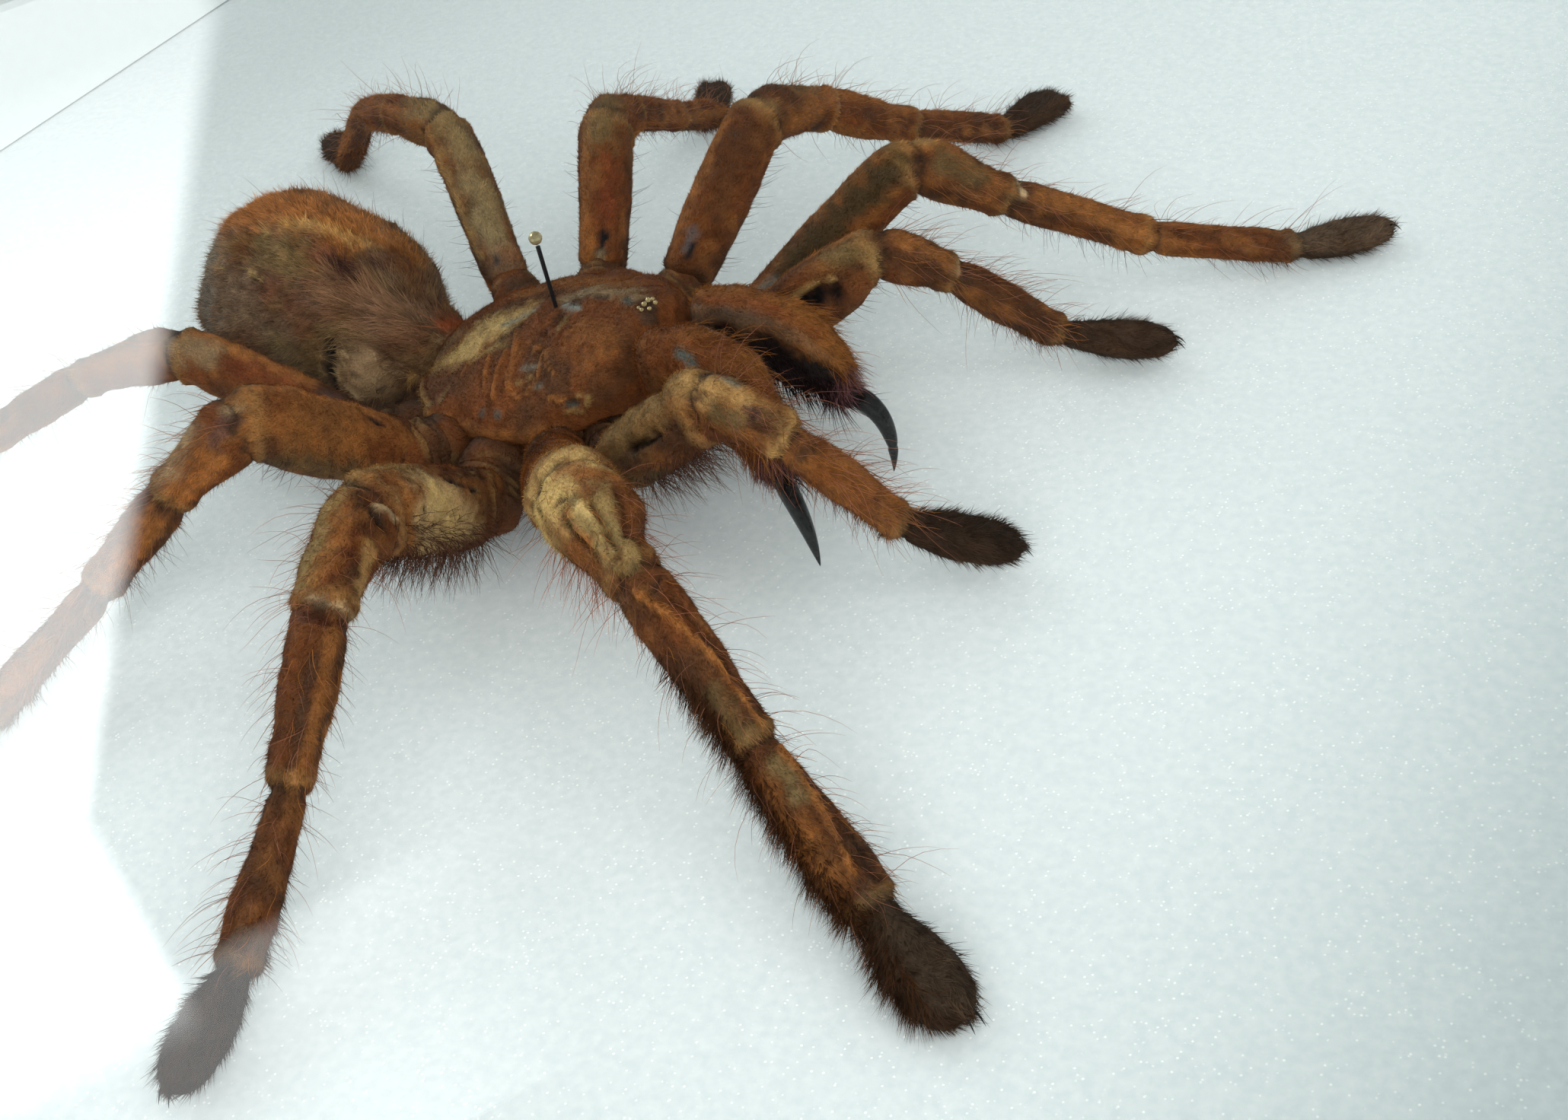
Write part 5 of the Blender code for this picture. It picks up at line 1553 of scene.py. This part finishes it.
# the window's wall stands upright, square to its bearing; a place on it is (across, up) in mm
WALL_BEARING, WALL_AWAY = radians(149), 985.0
WALL_ACROSS = Vector((-sin(WALL_BEARING), cos(WALL_BEARING), 0.0))
PANE_LEFT, PANE_RIGHT, PANE_LOW, PANE_HIGH = -270.0, 1050.0, 320.0, 1330.0
SASH_FOOT, SASH_HEAD, SASH_SOFT = (-132.0, 364.0), (153.0, 859.0), 24.0
PANE_TOP, VEIL_LEFT, VEIL_RIGHT = 1015.0, -110.0, 75.0
# the glare's radiance at the sash's foot and at a knee further up, what comes on top by the sash's
# head, and the radiance of the dim strip above the pane
GLARE_FOOT, GLARE_KNEE, GLARE_MORE, VEIL_GLARE = 1.2, 4.6, 3.4, 2.2
KNEE_UP = 600.0
GLARE_COLOUR = (0.96, 0.995, 1.0)
WINDOW_AT, WINDOW_SIZE, WINDOW_RADIANCE = (500, 900), (1100, 1000), 1.6
WINDOW_COLOUR = (0.94, 0.98, 1.0)
ROOM_COLOUR, ROOM_STRENGTH = (0.90, 0.97, 0.95, 1), 0.77
FLOOR_SIZE = 6.0  # m
LAMP_AIM, LAMP_AWAY = (0, 0, 10), 800.0
LAMP_COLOUR = (1.0, 0.98, 0.97)
SOFT_LAMPS = [
    # bearing and height of each lamp, its size in mm and its radiance
    ("front_fill", -55, 28, (700, 400), 7.2),
    ("right_fill", -20, 45, (600, 600), 2.4),
]


def wall_place(across, up):
    """A place on the window's wall as a Vector in the frame's metres."""
    foot = np.array((cos(WALL_BEARING), sin(WALL_BEARING), 0.0)) * WALL_AWAY
    return in_frame(foot) + (WALL_ACROSS * across + Vector((0.0, 0.0, up))) * MM


def shade_glare(light):
    """The lamp's pattern: a leaning sash edge, brighter higher up, and a dim strip above it."""
    light.use_nodes = True
    tree = light.node_tree
    lamp_place = node(tree, "ShaderNodeNewGeometry").outputs["Parametric"]
    split = node(tree, "ShaderNodeSeparateXYZ", {"Vector": lamp_place})
    across = remap(tree, split.outputs[0], 0, 1, PANE_LEFT, PANE_RIGHT)
    up = remap(tree, split.outputs[1], 0, 1, PANE_LOW, PANE_HIGH)
    edge = remap(tree, up, SASH_FOOT[1], SASH_HEAD[1], SASH_FOOT[0], SASH_HEAD[0])
    inside = remap(tree, combine(tree, "SUBTRACT", across, edge), 0, SASH_SOFT, 0, 1, smooth=True)
    below = remap(tree, up, PANE_TOP - 10, PANE_TOP + 90, 1, 0, smooth=True)
    low = remap(tree, up, SASH_FOOT[1], KNEE_UP, GLARE_FOOT, GLARE_KNEE)
    bright = combine(tree, "ADD", low, remap(tree, up, KNEE_UP, SASH_HEAD[1], 0, GLARE_MORE))
    pane = combine(tree, "MULTIPLY", combine(tree, "MULTIPLY", inside, below), bright)
    above = remap(tree, up, PANE_TOP, PANE_TOP + 20, 0, VEIL_GLARE)
    veil = combine(tree, "MULTIPLY", above, remap(tree, across, VEIL_LEFT, VEIL_RIGHT, 0, 1))
    total = combine(tree, "ADD", pane, veil)
    tree.links.new(total, tree.nodes["Emission"].inputs["Strength"])


def add_stage():
    """The floor, the window, the soft lamps and the room's own light."""
    bpy.ops.mesh.primitive_plane_add(size=FLOOR_SIZE, location=(0, 0, 0))
    floor = bpy.context.object
    floor.name = "floor"
    pale, _, _ = new_material("pale_floor", Base_Color=PALE_FLOOR, Roughness=0.8)
    floor.data.materials.append(pale)

    # the window whose mirror image lies on the glass at the left, and its light
    up = Vector((0.0, 0.0, 1.0))
    centre = wall_place((PANE_LEFT + PANE_RIGHT) / 2, (PANE_LOW + PANE_HIGH) / 2)
    size = PANE_RIGHT - PANE_LEFT, PANE_HIGH - PANE_LOW
    glare = add_area_light("window_image", WALL_ACROSS, up, centre, size, 1.0, GLARE_COLOUR)
    shade_glare(glare.data)
    glare.visible_diffuse = False
    centre = wall_place(*WINDOW_AT)
    window = add_area_light(
        "window", WALL_ACROSS, up, centre, WINDOW_SIZE, WINDOW_RADIANCE, WINDOW_COLOUR
    )
    window.visible_glossy = False

    for name, bearing, height, size, radiance in SOFT_LAMPS:
        b, h = radians(bearing), radians(height)
        out = Vector((cos(b) * cos(h), sin(b) * cos(h), sin(h)))
        across = Vector((-sin(b), cos(b), 0.0))
        centre = in_frame(LAMP_AIM) + out * LAMP_AWAY * MM
        lamp = add_area_light(name, across, out.cross(across), centre, size, radiance, LAMP_COLOUR)
        lamp.visible_glossy = False

    world = bpy.data.worlds.new("room")
    bpy.context.scene.world = world
    world.use_nodes = True
    world.cycles_visibility.glossy = False
    background = world.node_tree.nodes["Background"]
    background.inputs["Color"].default_value = ROOM_COLOUR
    background.inputs["Strength"].default_value = ROOM_STRENGTH


# where the photo was taken from: bearing and height round the point it aims at, and its roll
CAMERA_BEARING, CAMERA_HEIGHT, CAMERA_ROLL = radians(38.75), radians(37.8), radians(-13.5)
CAMERA_AIM, CAMERA_AWAY, CAMERA_LENS = (33.5, -9.9, 0.0), 228.3, 46.7


def add_camera():
    """The camera, where the photo was taken from."""
    camera = bpy.data.cameras.new("camera")
    camera.lens, camera.sensor_width = CAMERA_LENS, 36.0
    camera.clip_start = 0.01
    obj = bpy.data.objects.new("camera", camera)
    turn = Matrix.Rotation(CAMERA_BEARING, 4, "Z") @ Matrix.Rotation(pi / 2 - CAMERA_HEIGHT, 4, "X")
    turn = turn @ Matrix.Rotation(CAMERA_ROLL, 4, "Z")
    back = Matrix.Translation((0, 0, CAMERA_AWAY * MM))
    obj.matrix_world = Matrix.Translation(in_frame(CAMERA_AIM)) @ turn @ back
    bpy.context.scene.collection.objects.link(obj)
    bpy.context.scene.camera = obj


add_camera()
add_stage()
dress_frame()
COATINGS = skin_material(), hair_material(), horn_material()
add_limbs(*COATINGS)
add_body(*COATINGS)
add_eyes()
bpy.context.scene.view_settings.view_transform = "Standard"
